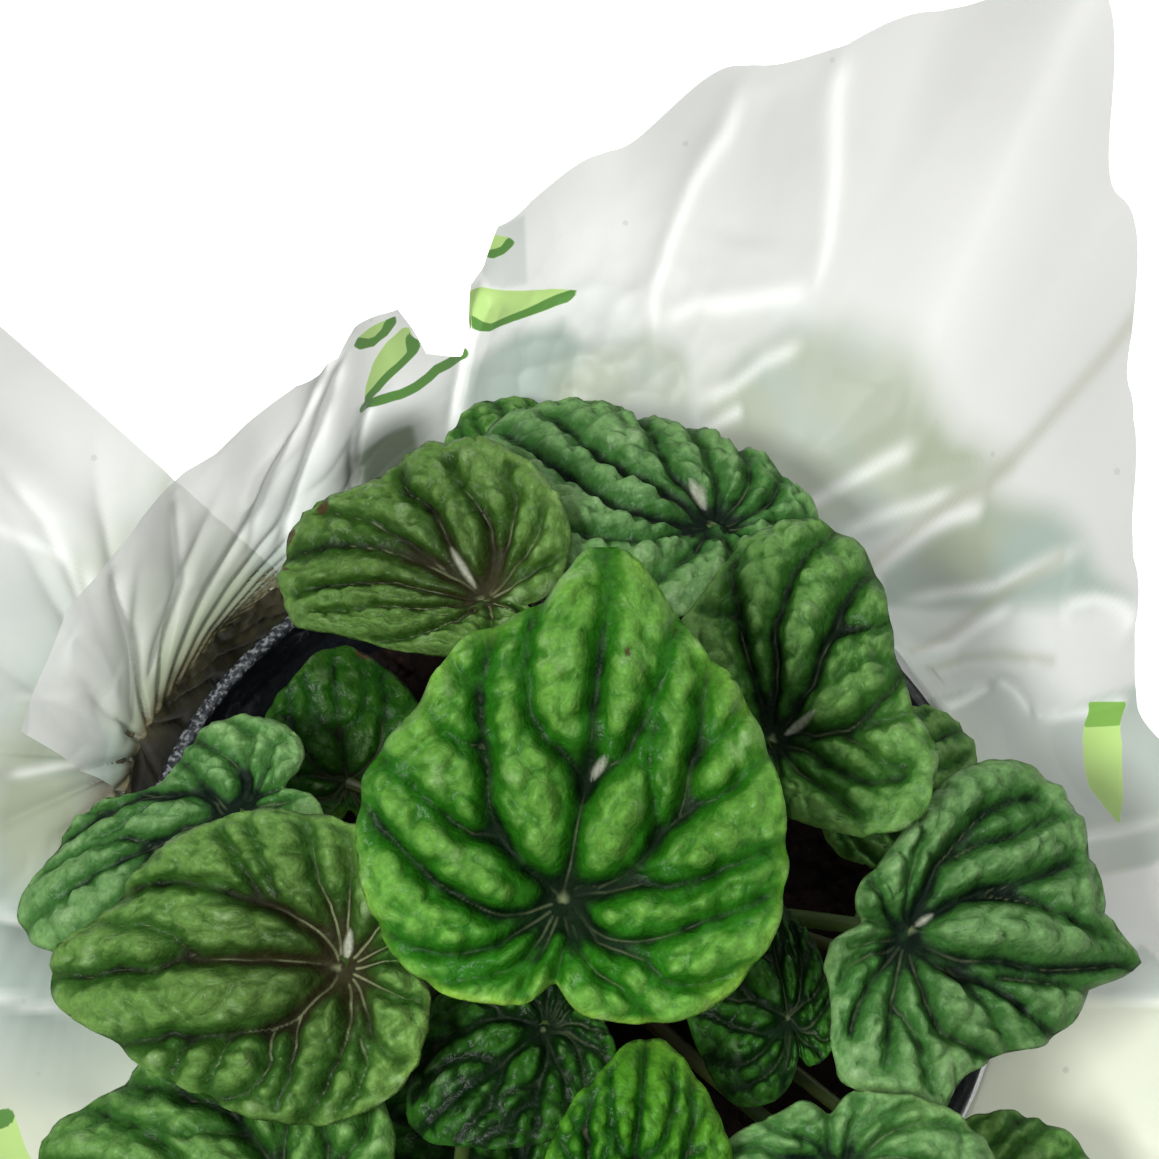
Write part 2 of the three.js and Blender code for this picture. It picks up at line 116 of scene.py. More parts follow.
class Nodes:
    """Adds and joins nodes in one tree; a value that is a socket is linked, any other is set."""

    def __init__(self, tree):
        self.tree = tree

    def add(self, kind, inputs=None, **settings):
        node = self.tree.nodes.new(kind)
        for key, value in settings.items():
            setattr(node, key, value)
        for key, value in (inputs or {}).items():
            if isinstance(value, bpy.types.NodeSocket):
                self.tree.links.new(value, node.inputs[key])
            else:
                node.inputs[key].default_value = value
        return node

    def attribute(self, name):
        return self.add("ShaderNodeAttribute", attribute_name=name).outputs["Fac"]

    def maths(self, operation, a, b=0.0, clamp=False):
        return self.add("ShaderNodeMath", {0: a, 1: b}, operation=operation, use_clamp=clamp).outputs[0]

    def between(self, value, low, high, out_low=0.0, out_high=1.0):
        return self.add("ShaderNodeMapRange", {"Value": value, "From Min": low, "From Max": high,
                        "To Min": out_low, "To Max": out_high},
                        interpolation_type="SMOOTHSTEP").outputs[0]

    def mix(self, factor, a, b, blend="MIX"):
        return self.add("ShaderNodeMix", {0: factor, 6: a, 7: b}, data_type="RGBA",
                        blend_type=blend).outputs[2]

    def noise(self, vector, scale, detail, rough=0.55):
        return self.add("ShaderNodeTexNoise", {"Vector": vector, "Scale": scale, "Detail": detail,
                        "Roughness": rough}).outputs["Fac"]

    def stretched(self, vector, along_z):
        """The same places, with a pattern on them drawn out or pressed together up and down."""
        return self.add("ShaderNodeMapping", {"Vector": vector, "Scale": (1, 1, along_z)}).outputs[0]

    def own_places(self):
        return self.add("ShaderNodeTexCoord").outputs["Object"]

    def cells(self, vector, scale, feature="DISTANCE_TO_EDGE"):
        return self.add("ShaderNodeTexVoronoi", {"Vector": vector, "Scale": scale},
                        feature=feature).outputs["Distance"]


def new_group(name, sockets_in, sockets_out):
    """An empty shader node group with named sockets; gives its nodes, inputs and output node."""
    tree = bpy.data.node_groups.new(name, "ShaderNodeTree")
    kinds = {"colour": "NodeSocketColor", "value": "NodeSocketFloat"}
    for label, kind, start in sockets_in:
        socket = tree.interface.new_socket(label, in_out="INPUT", socket_type=kinds[kind])
        socket.default_value = start
    for label, kind in sockets_out:
        tree.interface.new_socket(label, in_out="OUTPUT", socket_type=kinds[kind])
    nodes = Nodes(tree)
    return tree, nodes, nodes.add("NodeGroupInput").outputs, nodes.add("NodeGroupOutput")


def new_material(name, **fixed):
    """A material with its Principled shader; fixed values are set on the shader's own sockets."""
    material = bpy.data.materials.new(name)
    material.use_nodes = True
    nodes = Nodes(material.node_tree)
    shader = material.node_tree.nodes["Principled BSDF"]
    for label, value in fixed.items():
        shader.inputs[label.replace("_", " ").title().replace("Ior", "IOR")].default_value = value
    return material, nodes, shader


def place_group(nodes, tree, **values):
    node = nodes.add("ShaderNodeGroup", node_tree=tree)
    for label, value in values.items():
        node.inputs[label.replace("_", " ").capitalize()].default_value = value
    return node.outputs


def join(nodes, shader, **sources):
    for label, source in sources.items():
        nodes.tree.links.new(source, shader.inputs[label.replace("_", " ").title()])


def bump(nodes, shader, height, strength, distance):
    node = nodes.add("ShaderNodeBump", {"Strength": strength, "Distance": distance, "Height": height})
    nodes.tree.links.new(node.outputs[0], shader.inputs["Normal"])


# ------------------------------------------------------------------ leaves: form

# Millimetres, apart from the relief, the margin's wave, frill and lip and the petiole's share,
# which are shares of the leaf's length.
LEAF = {
    "thickness": 0.75, "young_thickness": 0.6, "young_length": 14, "full_length": 36,
    "relief": 0.165, "crinkle": 0.22, "ripple": 0.22, "ripple_spacing": 3.3,
    "margin_wave": 0.03, "margin_frill": 0.012, "margin_lip": 0.012,
    "petiole_radius": 0.45, "petiole_share": 0.02, "petiole_sunk": 0.35, "foot_sunk": 1.0,
}

# The cushions' spacing and reach are shares of the leaf's length, and their scatter and rows are
# in spacings. The crinkle's waves are in millimetres.
CUSHION = {"spacing": 0.115, "reach": 1.2, "scatter": 0.34, "row": 0.87, "drawn_out": 0.55}
CRINKLE = {"waves": 16, "shortest": 1.9, "longest": 4.6}

# Radius, foot and top of the crown's dome.
CROWN = {"radius": 11.0, "foot": 72.0, "top": 91.0}

# The sunken veins of a blade, from the junction outwards. Each is a run of places given by
# the direction from the tip in degrees and the share of the way out to the margin, then its
# width as a share of the length and its depth.
COMMON_VEINS = [
    ([(0, 0), (-7, 0.09), (-6, 0.2), (-6, 0.38), (-4, 0.52), (-3, 0.78), (-2, 1.0)], 0.042, 1.6),
    ([(-5, 0.34), (2, 0.38), (12, 0.47), (15, 0.58), (15, 0.7), (13, 0.8), (9, 0.93)], 0.036, 1.3),
    ([(-7, 0.35), (-13, 0.41), (-18, 0.49), (-19, 0.61), (-19, 0.72), (-17, 0.94)], 0.036, 1.3),
    ([(46, 0.03), (55, 0.16), (53, 0.27), (50, 0.37), (43, 0.47), (35, 0.57), (31, 0.68),
      (27, 0.78), (21, 0.88), (19, 0.97)], 0.045, 1.6),
    ([(52, 0.38), (59, 0.46), (60, 0.56), (59, 0.68), (58, 0.8), (58, 0.97)], 0.036, 1.3),
    ([(33, 0.63), (38, 0.72), (41, 0.81), (41, 0.98)], 0.028, 0.9),
    ([(28, 0.76), (29, 0.85), (31, 0.94), (32, 1.0)], 0.026, 0.8),
    ([(113, 0.06), (115, 0.19), (109, 0.32), (98, 0.43), (89, 0.55), (82, 0.66), (77, 0.75),
      (70, 0.97)], 0.042, 1.5),
    ([(136, 0.11), (132, 0.27), (130, 0.45), (125, 0.62), (117, 0.76), (110, 0.86), (103, 0.98)],
     0.038, 1.3),
    ([(153, 0.15), (156, 0.33), (153, 0.51), (145, 0.67), (137, 0.77), (126, 0.98)], 0.034, 1.1),
    ([(168, 0.18), (166, 0.42), (162, 0.61), (161, 0.79), (161, 1.0)], 0.03, 1.0),
    ([(-36, 0.05), (-65, 0.16), (-63, 0.26), (-58, 0.35), (-52, 0.43), (-49, 0.56), (-40, 0.67),
      (-34, 0.79), (-29, 0.87), (-27, 0.98)], 0.045, 1.6),
    ([(-52, 0.44), (-40, 0.49), (-32, 0.53), (-25, 0.58), (-23, 0.68)], 0.03, 0.9),
    ([(-49, 0.56), (-50, 0.66), (-51, 0.79), (-49, 0.99)], 0.034, 1.2),
    ([(-37, 0.71), (-38, 0.81), (-39, 0.92), (-39, 1.0)], 0.028, 1.0),
    ([(-66, 0.06), (-74, 0.19), (-73, 0.34), (-77, 0.47), (-76, 0.6), (-73, 0.74), (-70, 0.98)],
     0.04, 1.4),
    ([(-113, 0.07), (-131, 0.21), (-124, 0.34), (-112, 0.46), (-102, 0.56), (-93, 0.67),
      (-88, 0.8), (-82, 0.98)], 0.042, 1.5),
    ([(-124, 0.1), (-135, 0.34), (-125, 0.45), (-120, 0.57), (-122, 0.73), (-117, 0.85),
      (-104, 0.98)], 0.036, 1.2),
    ([(-153, 0.21), (-155, 0.43), (-148, 0.6), (-140, 0.7), (-138, 0.83), (-138, 1.0)], 0.034, 1.1),
    ([(-167, 0.17), (-165, 0.34), (-174, 0.6), (-179, 1.0)], 0.034, 1.3),
]
LEFT_VEINS = [
    ([(-14, 0.06), (-10, 0.15), (-7, 0.28), (-6, 0.44), (-6, 0.52), (0, 0.59), (-2, 0.71),
      (0, 0.83), (-1, 0.97)], 0.042, 1.8),
    ([(-7, 0.47), (-14, 0.58), (-16, 0.65), (-17, 0.73), (-15, 0.83), (-15, 0.96)], 0.034, 1.2),
    ([(-85, 0.05), (-71, 0.18), (-57, 0.32), (-47, 0.47), (-42, 0.55), (-37, 0.7), (-35, 0.76),
      (-29, 0.88), (-22, 0.97)], 0.042, 1.8),
    ([(-49, 0.54), (-53, 0.68), (-54, 0.81), (-55, 0.97)], 0.034, 1.1),
    ([(-56, 0.49), (-60, 0.64), (-62, 0.81), (-63, 0.95)], 0.028, 0.9),
    ([(-95, 0.09), (-89, 0.29), (-81, 0.54), (-81, 0.75), (-80, 0.98)], 0.038, 1.3),
    ([(-123, 0.1), (-103, 0.26), (-100, 0.45), (-99, 0.65), (-94, 0.92)], 0.038, 1.4),
    ([(80, 0.05), (64, 0.17), (52, 0.37), (39, 0.48), (32, 0.55), (28, 0.62), (23, 0.68),
      (22, 0.78), (18, 0.94)], 0.042, 1.7),
    ([(48, 0.44), (58, 0.6), (60, 0.73), (57, 0.81), (48, 0.93)], 0.034, 1.2),
    ([(28, 0.65), (33, 0.79), (37, 0.93)], 0.028, 0.9),
    ([(36, 0.55), (42, 0.69), (45, 0.86)], 0.028, 0.8),
    ([(118, 0.14), (103, 0.38), (95, 0.55), (88, 0.69), (83, 0.85), (78, 0.98)], 0.04, 1.4),
    ([(56, 0.33), (66, 0.5), (69, 0.69), (69, 0.9)], 0.034, 1.2),
    ([(136, 0.15), (121, 0.38), (115, 0.54), (118, 0.73), (124, 0.93)], 0.038, 1.3),
    ([(152, 0.15), (150, 0.43), (150, 0.65), (153, 0.97)], 0.034, 1.1),
    ([(175, 0.25), (184, 0.71), (184, 0.99)], 0.034, 1.1),
    ([(107, 0.53), (106, 0.71), (96, 0.88), (93, 0.97)], 0.03, 0.9),
    ([(-142, 0.15), (-135, 0.45), (-130, 0.8), (-128, 0.98)], 0.036, 1.2),
    ([(-160, 0.2), (-158, 0.5), (-155, 0.95)], 0.034, 1.1),
]
RIGHT_VEINS = [
    ([(-60, 0.05), (-39, 0.14), (-28, 0.27), (-14, 0.4), (-11, 0.58), (-6, 0.73), (-2, 0.87),
      (-1, 0.97)], 0.045, 1.9),
    ([(40, 0.08), (34, 0.19), (31, 0.39), (26, 0.58), (25, 0.83), (26, 0.98)], 0.048, 2.0),
    ([(28, 0.4), (16, 0.62), (11, 0.7), (7, 0.76), (4, 0.87)], 0.036, 1.4),
    ([(85, 0.08), (72, 0.22), (72, 0.37), (67, 0.45), (62, 0.64), (59, 0.74), (53, 0.86),
      (48, 0.98)], 0.048, 2.0),
    ([(61, 0.44), (48, 0.63), (44, 0.74), (41, 0.9), (40, 0.98)], 0.04, 1.5),
    ([(120, 0.11), (107, 0.26), (96, 0.42), (89, 0.6)], 0.03, 0.9),
    ([(-70, 0.1), (-45, 0.31), (-32, 0.44), (-29, 0.59), (-31, 0.75), (-29, 0.9)], 0.045, 1.8),
    ([(-90, 0.15), (-82, 0.33), (-79, 0.47), (-74, 0.63), (-64, 0.74), (-54, 0.88)], 0.045, 1.8),
    ([(-110, 0.15), (-108, 0.43), (-106, 0.62), (-104, 0.78), (-103, 0.97)], 0.042, 1.6),
    ([(-104, 0.57), (-92, 0.65), (-86, 0.75), (-85, 0.95)], 0.034, 1.2),
    ([(-122, 0.15), (-128, 0.49), (-126, 0.79), (-121, 0.98)], 0.042, 1.6),
    ([(-132, 0.2), (-146, 0.55), (-147, 0.81), (-142, 0.98)], 0.036, 1.3),
    ([(-150, 0.2), (-157, 0.55), (-160, 0.9)], 0.034, 1.1),
    ([(-23, 0.47), (-17, 0.59), (-13, 0.71), (-10, 0.85)], 0.03, 1.0),
    ([(-41, 0.3), (-44, 0.62), (-46, 0.86)], 0.034, 1.1),
    ([(165, 0.2), (150, 0.5), (135, 0.95)], 0.036, 1.2),
    ([(180, 0.2), (176, 0.6), (175, 0.95)], 0.034, 1.1),
]
BACK_RIGHT_VEINS = [
    ([(-33, 0.04), (-28, 0.23), (-27, 0.33), (-20, 0.43), (-18, 0.57), (-16, 0.68), (-16, 0.8),
      (-17, 0.95)], 0.048, 2.0),
    ([(16, 0.07), (6, 0.18), (8, 0.31), (12, 0.43), (9, 0.55), (6, 0.7), (1, 0.81), (-3, 0.95)],
     0.046, 1.8),
    ([(32, 0.07), (30, 0.26), (31, 0.54), (29, 0.73), (29, 0.93), (26, 1)], 0.046, 1.7),
    ([(33, 0.71), (40, 0.8), (43, 0.9)], 0.03, 1.0),
    ([(-54, 0.09), (-72, 0.29), (-69, 0.5), (-61, 0.65), (-53, 0.79), (-44, 0.89), (-40, 0.96)],
     0.046, 1.7),
    ([(-38, 0.47), (-39, 0.64), (-44, 0.86)], 0.03, 0.8),
    ([(-21, 0.6), (-29, 0.74), (-32, 0.89), (-31, 0.99)], 0.036, 1.3),
    ([(-69, 0.6), (-68, 0.76), (-66, 0.91), (-65, 1)], 0.034, 1.2),
    ([(-94, 0.08), (-93, 0.24), (-100, 0.45), (-100, 0.65), (-98, 0.83), (-91, 1)], 0.046, 1.8),
    ([(-76, 0.52), (-81, 0.65), (-87, 0.8), (-87, 0.96)], 0.034, 1.2),
    ([(-124, 0.09), (-125, 0.37), (-118, 0.58), (-116, 0.74), (-116, 0.94)], 0.042, 1.5),
    ([(-149, 0.14), (-155, 0.6), (-155, 0.98)], 0.036, 1.2),
    ([(100, 0.15), (85, 0.4), (72, 0.7), (68, 0.97)], 0.042, 1.4),
    ([(130, 0.2), (118, 0.5), (105, 0.95)], 0.038, 1.3),
    ([(160, 0.2), (155, 0.6), (145, 0.97)], 0.036, 1.2),
]
BACK_LEFT_VEINS = [
    ([(-35, 0.05), (-23, 0.18), (-18, 0.33), (-14, 0.52), (-10, 0.67), (-6, 0.81), (-2, 0.97)],
     0.046, 1.8),
    ([(-60, 0.06), (-43, 0.18), (-47, 0.34), (-49, 0.54), (-46, 0.65), (-42, 0.74), (-44, 0.9)],
     0.044, 1.7),
    ([(-25, 0.24), (-24, 0.48), (-22, 0.68), (-19, 0.83), (-17, 0.96)], 0.036, 1.2),
    ([(-105, 0.06), (-98, 0.28), (-91, 0.47), (-79, 0.59), (-70, 0.7), (-65, 0.9)], 0.044, 1.6),
    ([(-125, 0.08), (-113, 0.35), (-106, 0.58), (-102, 0.78), (-95, 0.86), (-93, 0.98)], 0.04, 1.5),
    ([(-140, 0.1), (-131, 0.52), (-125, 0.78), (-117, 0.97)], 0.036, 1.3),
    ([(25, 0.06), (12, 0.18), (4, 0.38), (9, 0.55), (13, 0.78), (18, 0.98)], 0.044, 1.6),
    ([(60, 0.1), (45, 0.37), (33, 0.54), (32, 0.79), (28, 0.98)], 0.036, 1.2),
    ([(89, 0.2), (69, 0.55), (61, 0.78), (54, 0.93)], 0.038, 1.3),
    ([(-155, 0.15), (-150, 0.5), (-145, 0.95)], 0.036, 1.2),
    ([(130, 0.15), (115, 0.5), (95, 0.95)], 0.036, 1.2),
    ([(165, 0.2), (160, 0.6), (155, 0.95)], 0.034, 1.1),
]
BACK_VEINS = [
    ([(60, 0.08), (50, 0.2), (42, 0.38), (33, 0.5), (22, 0.57), (12, 0.66), (4, 0.76),
      (-4, 0.95)], 0.048, 2.0),
    ([(15, 0.06), (8, 0.15), (5, 0.3), (0, 0.45), (-4, 0.57), (-11, 0.73), (-16, 0.93)], 0.046, 1.9),
    ([(-30, 0.06), (-25, 0.15), (-20, 0.28), (-30, 0.5), (-34, 0.62), (-37, 0.85)], 0.042, 1.5),
    ([(-72, 0.07), (-68, 0.24), (-60, 0.4), (-55, 0.6), (-52, 0.9)], 0.042, 1.4),
    ([(-105, 0.08), (-97, 0.42), (-90, 0.6), (-78, 0.8), (-74, 0.97)], 0.04, 1.4),
    ([(-140, 0.12), (-126, 0.43), (-116, 0.6), (-106, 0.76), (-100, 0.97)], 0.04, 1.3),
    ([(95, 0.15), (95, 0.44), (90, 0.63), (85, 0.82), (80, 0.98)], 0.04, 1.4),
    ([(70, 0.2), (66, 0.5), (52, 0.75), (40, 0.95)], 0.038, 1.4),
    ([(130, 0.2), (125, 0.6), (120, 0.97)], 0.036, 1.2),
    ([(165, 0.2), (160, 0.6), (158, 0.97)], 0.034, 1.1),
    ([(-165, 0.2), (-150, 0.6), (-140, 0.97)], 0.034, 1.1),
]
OWN_VEINS = {"leaf_left": LEFT_VEINS, "leaf_right": RIGHT_VEINS, "leaf_back_right": BACK_RIGHT_VEINS,
             "leaf_back_left": BACK_LEFT_VEINS, "leaf_back": BACK_VEINS}

# Two rings of petiole feet on the crown: the radius of each, and whether a leaf whose junction
# lies that far out stands in it.
FOOT_RINGS = [(5.2, lambda reach: reach <= 30), (9.0, lambda reach: reach > 30)]


def leaf(name, junction, turns, length, finish, **form):
    """One leaf: the junction in millimetres, heading, pitch and roll in degrees, and its form."""
    heading, pitch, roll = turns
    plain = {"left": 1, "right": 1, "cup": -0.1, "droop": 0.1, "drop_left": 0, "drop_right": 0,
             "sweep": 0, "arch": 0.78, "lobes": [], "flip": False, "seed": 1, "relief": 1.0}
    return {"name": name, "junction": Vector(junction), "heading": heading, "pitch": pitch,
            "roll": roll, "length": length, "finish": finish, **plain, **form}


LEAVES = [
    leaf("leaf_top", (0, -16, 129), (84, 22, 0), 36, "fresh", cup=-0.02, droop=0.06,
         lobes=[(42, 17, -0.09), (-36, 17, -0.06)]),
    leaf("leaf_left", (-23, -18, 115.5), (179, -8, -14), 32.5, "olive", left=0.88, right=0.82,
         cup=-0.08, droop=0.06, lobes=[(70, 38, -0.08)], seed=2, relief=1.12),
    leaf("leaf_left_under", (-36, 4, 104), (203, -12, 4), 28, "bluish", left=0.95, right=0.8,
         drop_right=0.3, sweep=0.05, arch=0.6, seed=3, relief=0.8),
    leaf("leaf_left_small", (-24.8, 13, 93), (95, 24, 0), 16, "shade", left=1.05, right=1.05,
         cup=-0.05, arch=0.9, seed=4, flip=True, relief=0.6),
    leaf("leaf_back_left", (-9, 26, 113), (162, -10, -14), 26, "dusky", left=0.52, right=1.05,
         cup=-0.08, droop=0.08, drop_left=0.3, sweep=0.1, seed=5),
    leaf("leaf_back", (17, 38, 108), (149, 0, 18), 31, "bluish", left=0.9, right=0.88, cup=-0.12,
         drop_right=0.15, lobes=[(-90, 32, -0.16)], seed=6),
    leaf("leaf_back_right", (22.2, 7.3, 116.5), (76, 12, -10), 27.5, "plain", left=0.85,
         right=0.95, cup=-0.08, sweep=-0.1, seed=7, relief=1.15),
    leaf("leaf_right", (36, -13, 113), (-3, -8, 9), 25.3, "bluish", left=1.15, right=1.05,
         sweep=0.06, arch=0.45,
         lobes=[(0, 6, 0.06), (60, 16, 0.08), (20, 12, -0.1), (-45, 20, -0.08), (-82, 9, 0.14),
                (-118, 20, 0.1), (125, 22, -0.15)], seed=8, relief=1.3),
    leaf("leaf_front_left", (-28, -42, 105.6), (166, -8, -8), 31, "plain", seed=9),
    leaf("leaf_front_bright", (7, -46, 115), (84, 18, 0), 20, "bright", left=0.8, right=0.8,
         seed=10, flip=True),
    leaf("leaf_mid_right", (23.6, -20.4, 107), (103, 4, 0), 17, "deep", right=0.5,
         lobes=[(150, 34, 0.62)], arch=0.4, seed=11, relief=0.75),
    leaf("leaf_front_inner", (-5, -36, 96.5), (150, 0, 0), 20, "deep", left=1.1, right=1.1, seed=12,
         relief=0.75),
    leaf("leaf_mid_front", (-2, -23, 111), (215, -4, 0), 17, "deep", seed=13, flip=True, relief=0.75),
    leaf("leaf_front_right", (28, -39.5, 113), (-80, -10, 0), 23, "bluish", left=1.15, right=1.1,
         cup=-0.08, arch=0.3, lobes=[(180, 22, 0.42)], seed=14),
    leaf("leaf_far_right", (42, -40, 101.5), (-25, -4, 0), 18, "plain", left=1.2, right=1.2,
         cup=-0.08, seed=15, flip=True),
    leaf("leaf_front_small", (-17, -33, 92), (238, 2, 0), 13, "deep", cup=-0.08, seed=16, relief=0.75),
    leaf("leaf_right_under", (32, 9, 98), (32, 0, 0), 17, "plain", arch=0.35, seed=17, flip=True),
    leaf("leaf_back_under", (-3, 46, 99), (112, -2, 0), 18, "plain", seed=18),
    leaf("leaf_front_low", (-12, -49, 103.5), (255, -11, 0), 19, "plain", arch=1.25, seed=19,
         flip=True),
    leaf("leaf_front_mid", (10, -51, 106.5), (-80, -10, 0), 22, "plain", seed=20),
    leaf("leaf_young_left", (-10, -2, 104), (140, 25, 0), 12, "bright", left=0.9, right=0.9,
         cup=-0.05, seed=21, flip=True),
    leaf("leaf_young_right", (8, -2, 100), (20, 30, 0), 10, "bright", left=0.9, right=0.9,
         cup=-0.05, seed=22),
    leaf("leaf_right_low", (37, -11, 97.5), (10, -6, 0), 16, "plain", arch=0.35, seed=23, flip=True),
]


# How far the margin of a leaf swells or draws in from the plain egg shape, by direction from
# the tip in degrees.
MARGINS = {
    "leaf_top": [(-173, 1.12), (-157, 1), (-139, 1.02), (-110, 1.02), (-84, 1.02), (-58, 0.98),
                 (-40, 1.03), (-28, 1.02), (-16, 0.97), (-9, 0.965), (-3, 1.06), (1, 1.05), (5, 0.91),
                 (9, 0.85), (16, 0.9), (24, 0.955), (35, 1), (45, 0.97), (60, 1), (77, 0.97),
                 (93, 0.95), (122, 0.95), (154, 0.95), (172, 1.08), (180, 1.14)],
    "leaf_left": [(-175, 1), (-100, 0.97), (-78, 1.01), (-56, 1.05), (-36, 0.99), (-20, 0.955),
                  (1, 1.01), (12, 0.91), (23, 0.88), (38, 0.88), (55, 0.92), (68, 0.99), (85, 1.01),
                  (109, 0.97), (142, 0.96), (157, 1.01), (171, 1.05)],
    "leaf_left_under": [(-150, 1.15), (-134, 1.12), (-117, 1.05), (-103, 1.02), (-92, 0.91), (-84, 0.82),
                        (-76, 0.68), (-62, 0.6), (-53, 0.67), (-47, 0.8), (-42, 0.92), (-36, 0.96),
                        (-19, 1.03), (-5, 1.02), (11, 0.92), (40, 1)],
    "leaf_right": [(-175, 1.12), (-166, 1.25), (-158, 1.2), (-143, 1.09), (-131, 1.08), (-123, 1.22),
                   (-117, 1.28), (-110, 1.2), (-94, 1.2), (-86, 1.12), (-75, 0.92), (-58, 0.9),
                   (-49, 0.88), (-35, 0.94), (-22, 0.9), (-10, 0.84), (-5, 0.86), (0, 1.16),
                   (5, 0.88), (10, 0.92), (20, 1.1), (33, 1.07), (45, 1.13), (55, 1.07), (74, 1.02),
                   (84, 0.9), (92, 0.78), (103, 0.68), (131, 0.72), (160, 0.85)],
    "leaf_back_right": [(-170, 0.9), (-141, 0.9), (-128, 1.01), (-119, 1.13), (-106, 1.24),
                        (-92, 1.25), (-85, 1.19), (-77, 1.09), (-68, 0.95), (-55, 0.85), (-41, 0.84),
                        (-30, 0.88), (-16, 0.95), (0, 0.94), (10, 0.98), (18, 1.03), (27, 1.1),
                        (33, 0.93), (41, 0.97), (60, 0.95), (120, 0.9)],
    "leaf_back_left": [(-136, 1.14), (-110, 1.08), (-95, 1.1), (-64, 1.06), (-45, 0.97), (-34, 0.93),
                       (-26, 0.95), (-20, 1.05), (-14, 1.06), (-11, 0.98), (-5, 1.05), (2, 0.96),
                       (20, 1.08), (34, 1.22), (43, 1.02), (54, 0.99), (64, 0.93), (80, 0.88)],
    "leaf_back": [(-135, 1.05), (-119, 0.92), (-99, 0.97), (-81, 0.93), (-59, 0.86), (-48, 0.91),
                  (-35, 0.94), (-27, 1.1), (-12, 1.1), (-4, 1.03), (10, 1)],
}


def margin_share(angle, lobes):
    """Distance from the junction to the plain margin, as a share of the length."""
    turn = np.abs(angle)
    egg = 0.587 + 0.26 * np.cos(turn) + 0.033 * np.cos(3 * turn) + 0.117 * bell(turn, 0.3)
    share = egg * (1 - 0.3 * bell(np.pi - turn, 0.2))
    for direction, spread, amount in lobes:
        share = share * (1 + amount * bell(turn_between(angle, math.radians(direction)),
                                           math.radians(spread)))
    return share


def margin_trim(angle, name):
    """How much wider or narrower a leaf's own margin is than the plain one, gently eased."""
    if name not in MARGINS:
        return np.ones_like(angle)
    table = np.array(MARGINS[name], float)
    table = np.vstack([table[-1] - (360, 0), table, table[0] + (360, 0)])
    eased = 0
    for nudge, weight in ((-5, 0.25), (0, 0.5), (5, 0.25)):
        turned = (np.degrees(angle) + nudge + 180) % 360 - 180
        eased = eased + weight * np.interp(turned, table[:, 0], table[:, 1])
    return eased


def vein_run(run, form):
    """One vein as a smooth run of points in the blade's plane, in shares of the length."""
    side = -1 if form["flip"] else 1
    turns = np.unwrap(np.radians([side * turn for turn, _ in run]))
    shares = np.array([share for _, share in run])
    steps = np.linspace(0, len(run) - 1, 5 * (len(run) - 1) + 1)
    turn = np.interp(steps, range(len(run)), turns)
    share = np.interp(steps, range(len(run)), shares)
    r = share * margin_share(turn, form["lobes"])
    return np.stack([r * np.cos(turn), r * np.sin(turn)], 1)


def distance_to_run(points, run):
    """Distance from each point to a run of straight pieces, and how far along it that is."""
    best = np.full(len(points), 9.0)
    along = np.zeros(len(points))
    for i, (start, end) in enumerate(zip(run, run[1:])):
        line = end - start
        t = np.clip(((points - start) @ line) / max(line @ line, 1e-12), 0, 1)
        distance = np.hypot(*(points - start - t[:, None] * line).T)
        nearer = distance < best
        best[nearer] = distance[nearer]
        along[nearer] = (i + t[nearer]) / (len(run) - 1)
    return best, along


def cushions(points, form):
    """The rumples between veins: 0 in the creases and 1 on the cushions, and each one's own draw."""
    draw = np.random.RandomState(form["seed"])
    spacing, scatter = CUSHION["spacing"], CUSHION["scatter"]
    count = int(CUSHION["reach"] / spacing)
    grid = np.array([(i + (j % 2) / 2, j * CUSHION["row"])
                     for i in range(-count, count) for j in range(-count, count)])
    seeds = (grid + draw.uniform(-scatter, scatter, grid.shape)) * spacing
    nearest = np.full(len(points), 9.0)
    second = np.full(len(points), 9.0)
    own = np.zeros(len(points))
    outward = points / np.maximum(np.hypot(*points.T), 0.05)[:, None]
    for seed, value in zip(seeds, draw.uniform(0, 1, len(seeds))):
        gap = points - seed
        along = (gap * outward).sum(1)
        distance = np.sqrt((gap ** 2).sum(1) - CUSHION["drawn_out"] * along ** 2)
        own = np.where(distance < nearest, value, own)
        second = np.minimum(second, np.maximum(distance, nearest))
        nearest = np.minimum(nearest, distance)
    return smooth(0, 0.05, second - nearest), own


def wrinkle(points, seed):
    """A fine random crinkle of the skin, about 1 high and a few millimetres across."""
    draw = np.random.RandomState(seed + 40)
    total = np.zeros(len(points))
    for _ in range(CRINKLE["waves"]):
        turn = draw.uniform(0, math.pi)
        wave = 2 * math.pi / draw.uniform(CRINKLE["shortest"], CRINKLE["longest"])
        heading = wave * np.array([math.cos(turn), math.sin(turn)])
        total += np.sin(points @ heading + draw.uniform(0, 6.3))
    return total / 4


# Blemishes of single leaves, as runs of places on the blade with a half width in millimetres.
SCARS = {
    "leaf_back_left": [([(-20, 0.97), (-16, 0.98)], 0.7), ([(-9, 1.0), (-5, 1.01)], 0.7),
                       ([(3, 0.92), (4, 0.96)], 0.5), ([(-30, 0.98), (-26, 1.0)], 0.7)],
    "leaf_left_small": [([(7, 0.98), (14, 0.99)], 0.5)],
    "leaf_top": [([(-10, 0.73), (-9, 0.75)], 0.4)],
}
STREAKS = {
    "leaf_left": [([(-116, 0.08), (-106, 0.28)], 0.6)],
    "leaf_top": [([(-8, 0.35), (-12, 0.45)], 0.55)],
    "leaf_back_left": [([(-46, 0.08), (-46, 0.34)], 0.5)],
    "leaf_back_right": [([(-50, 0.08), (-52, 0.31)], 0.55)],
    "leaf_back": [([(-36, 0.1), (-30, 0.24)], 0.55)],
    "leaf_right": [([(40, 0.03), (36, 0.14)], 0.4)],
}


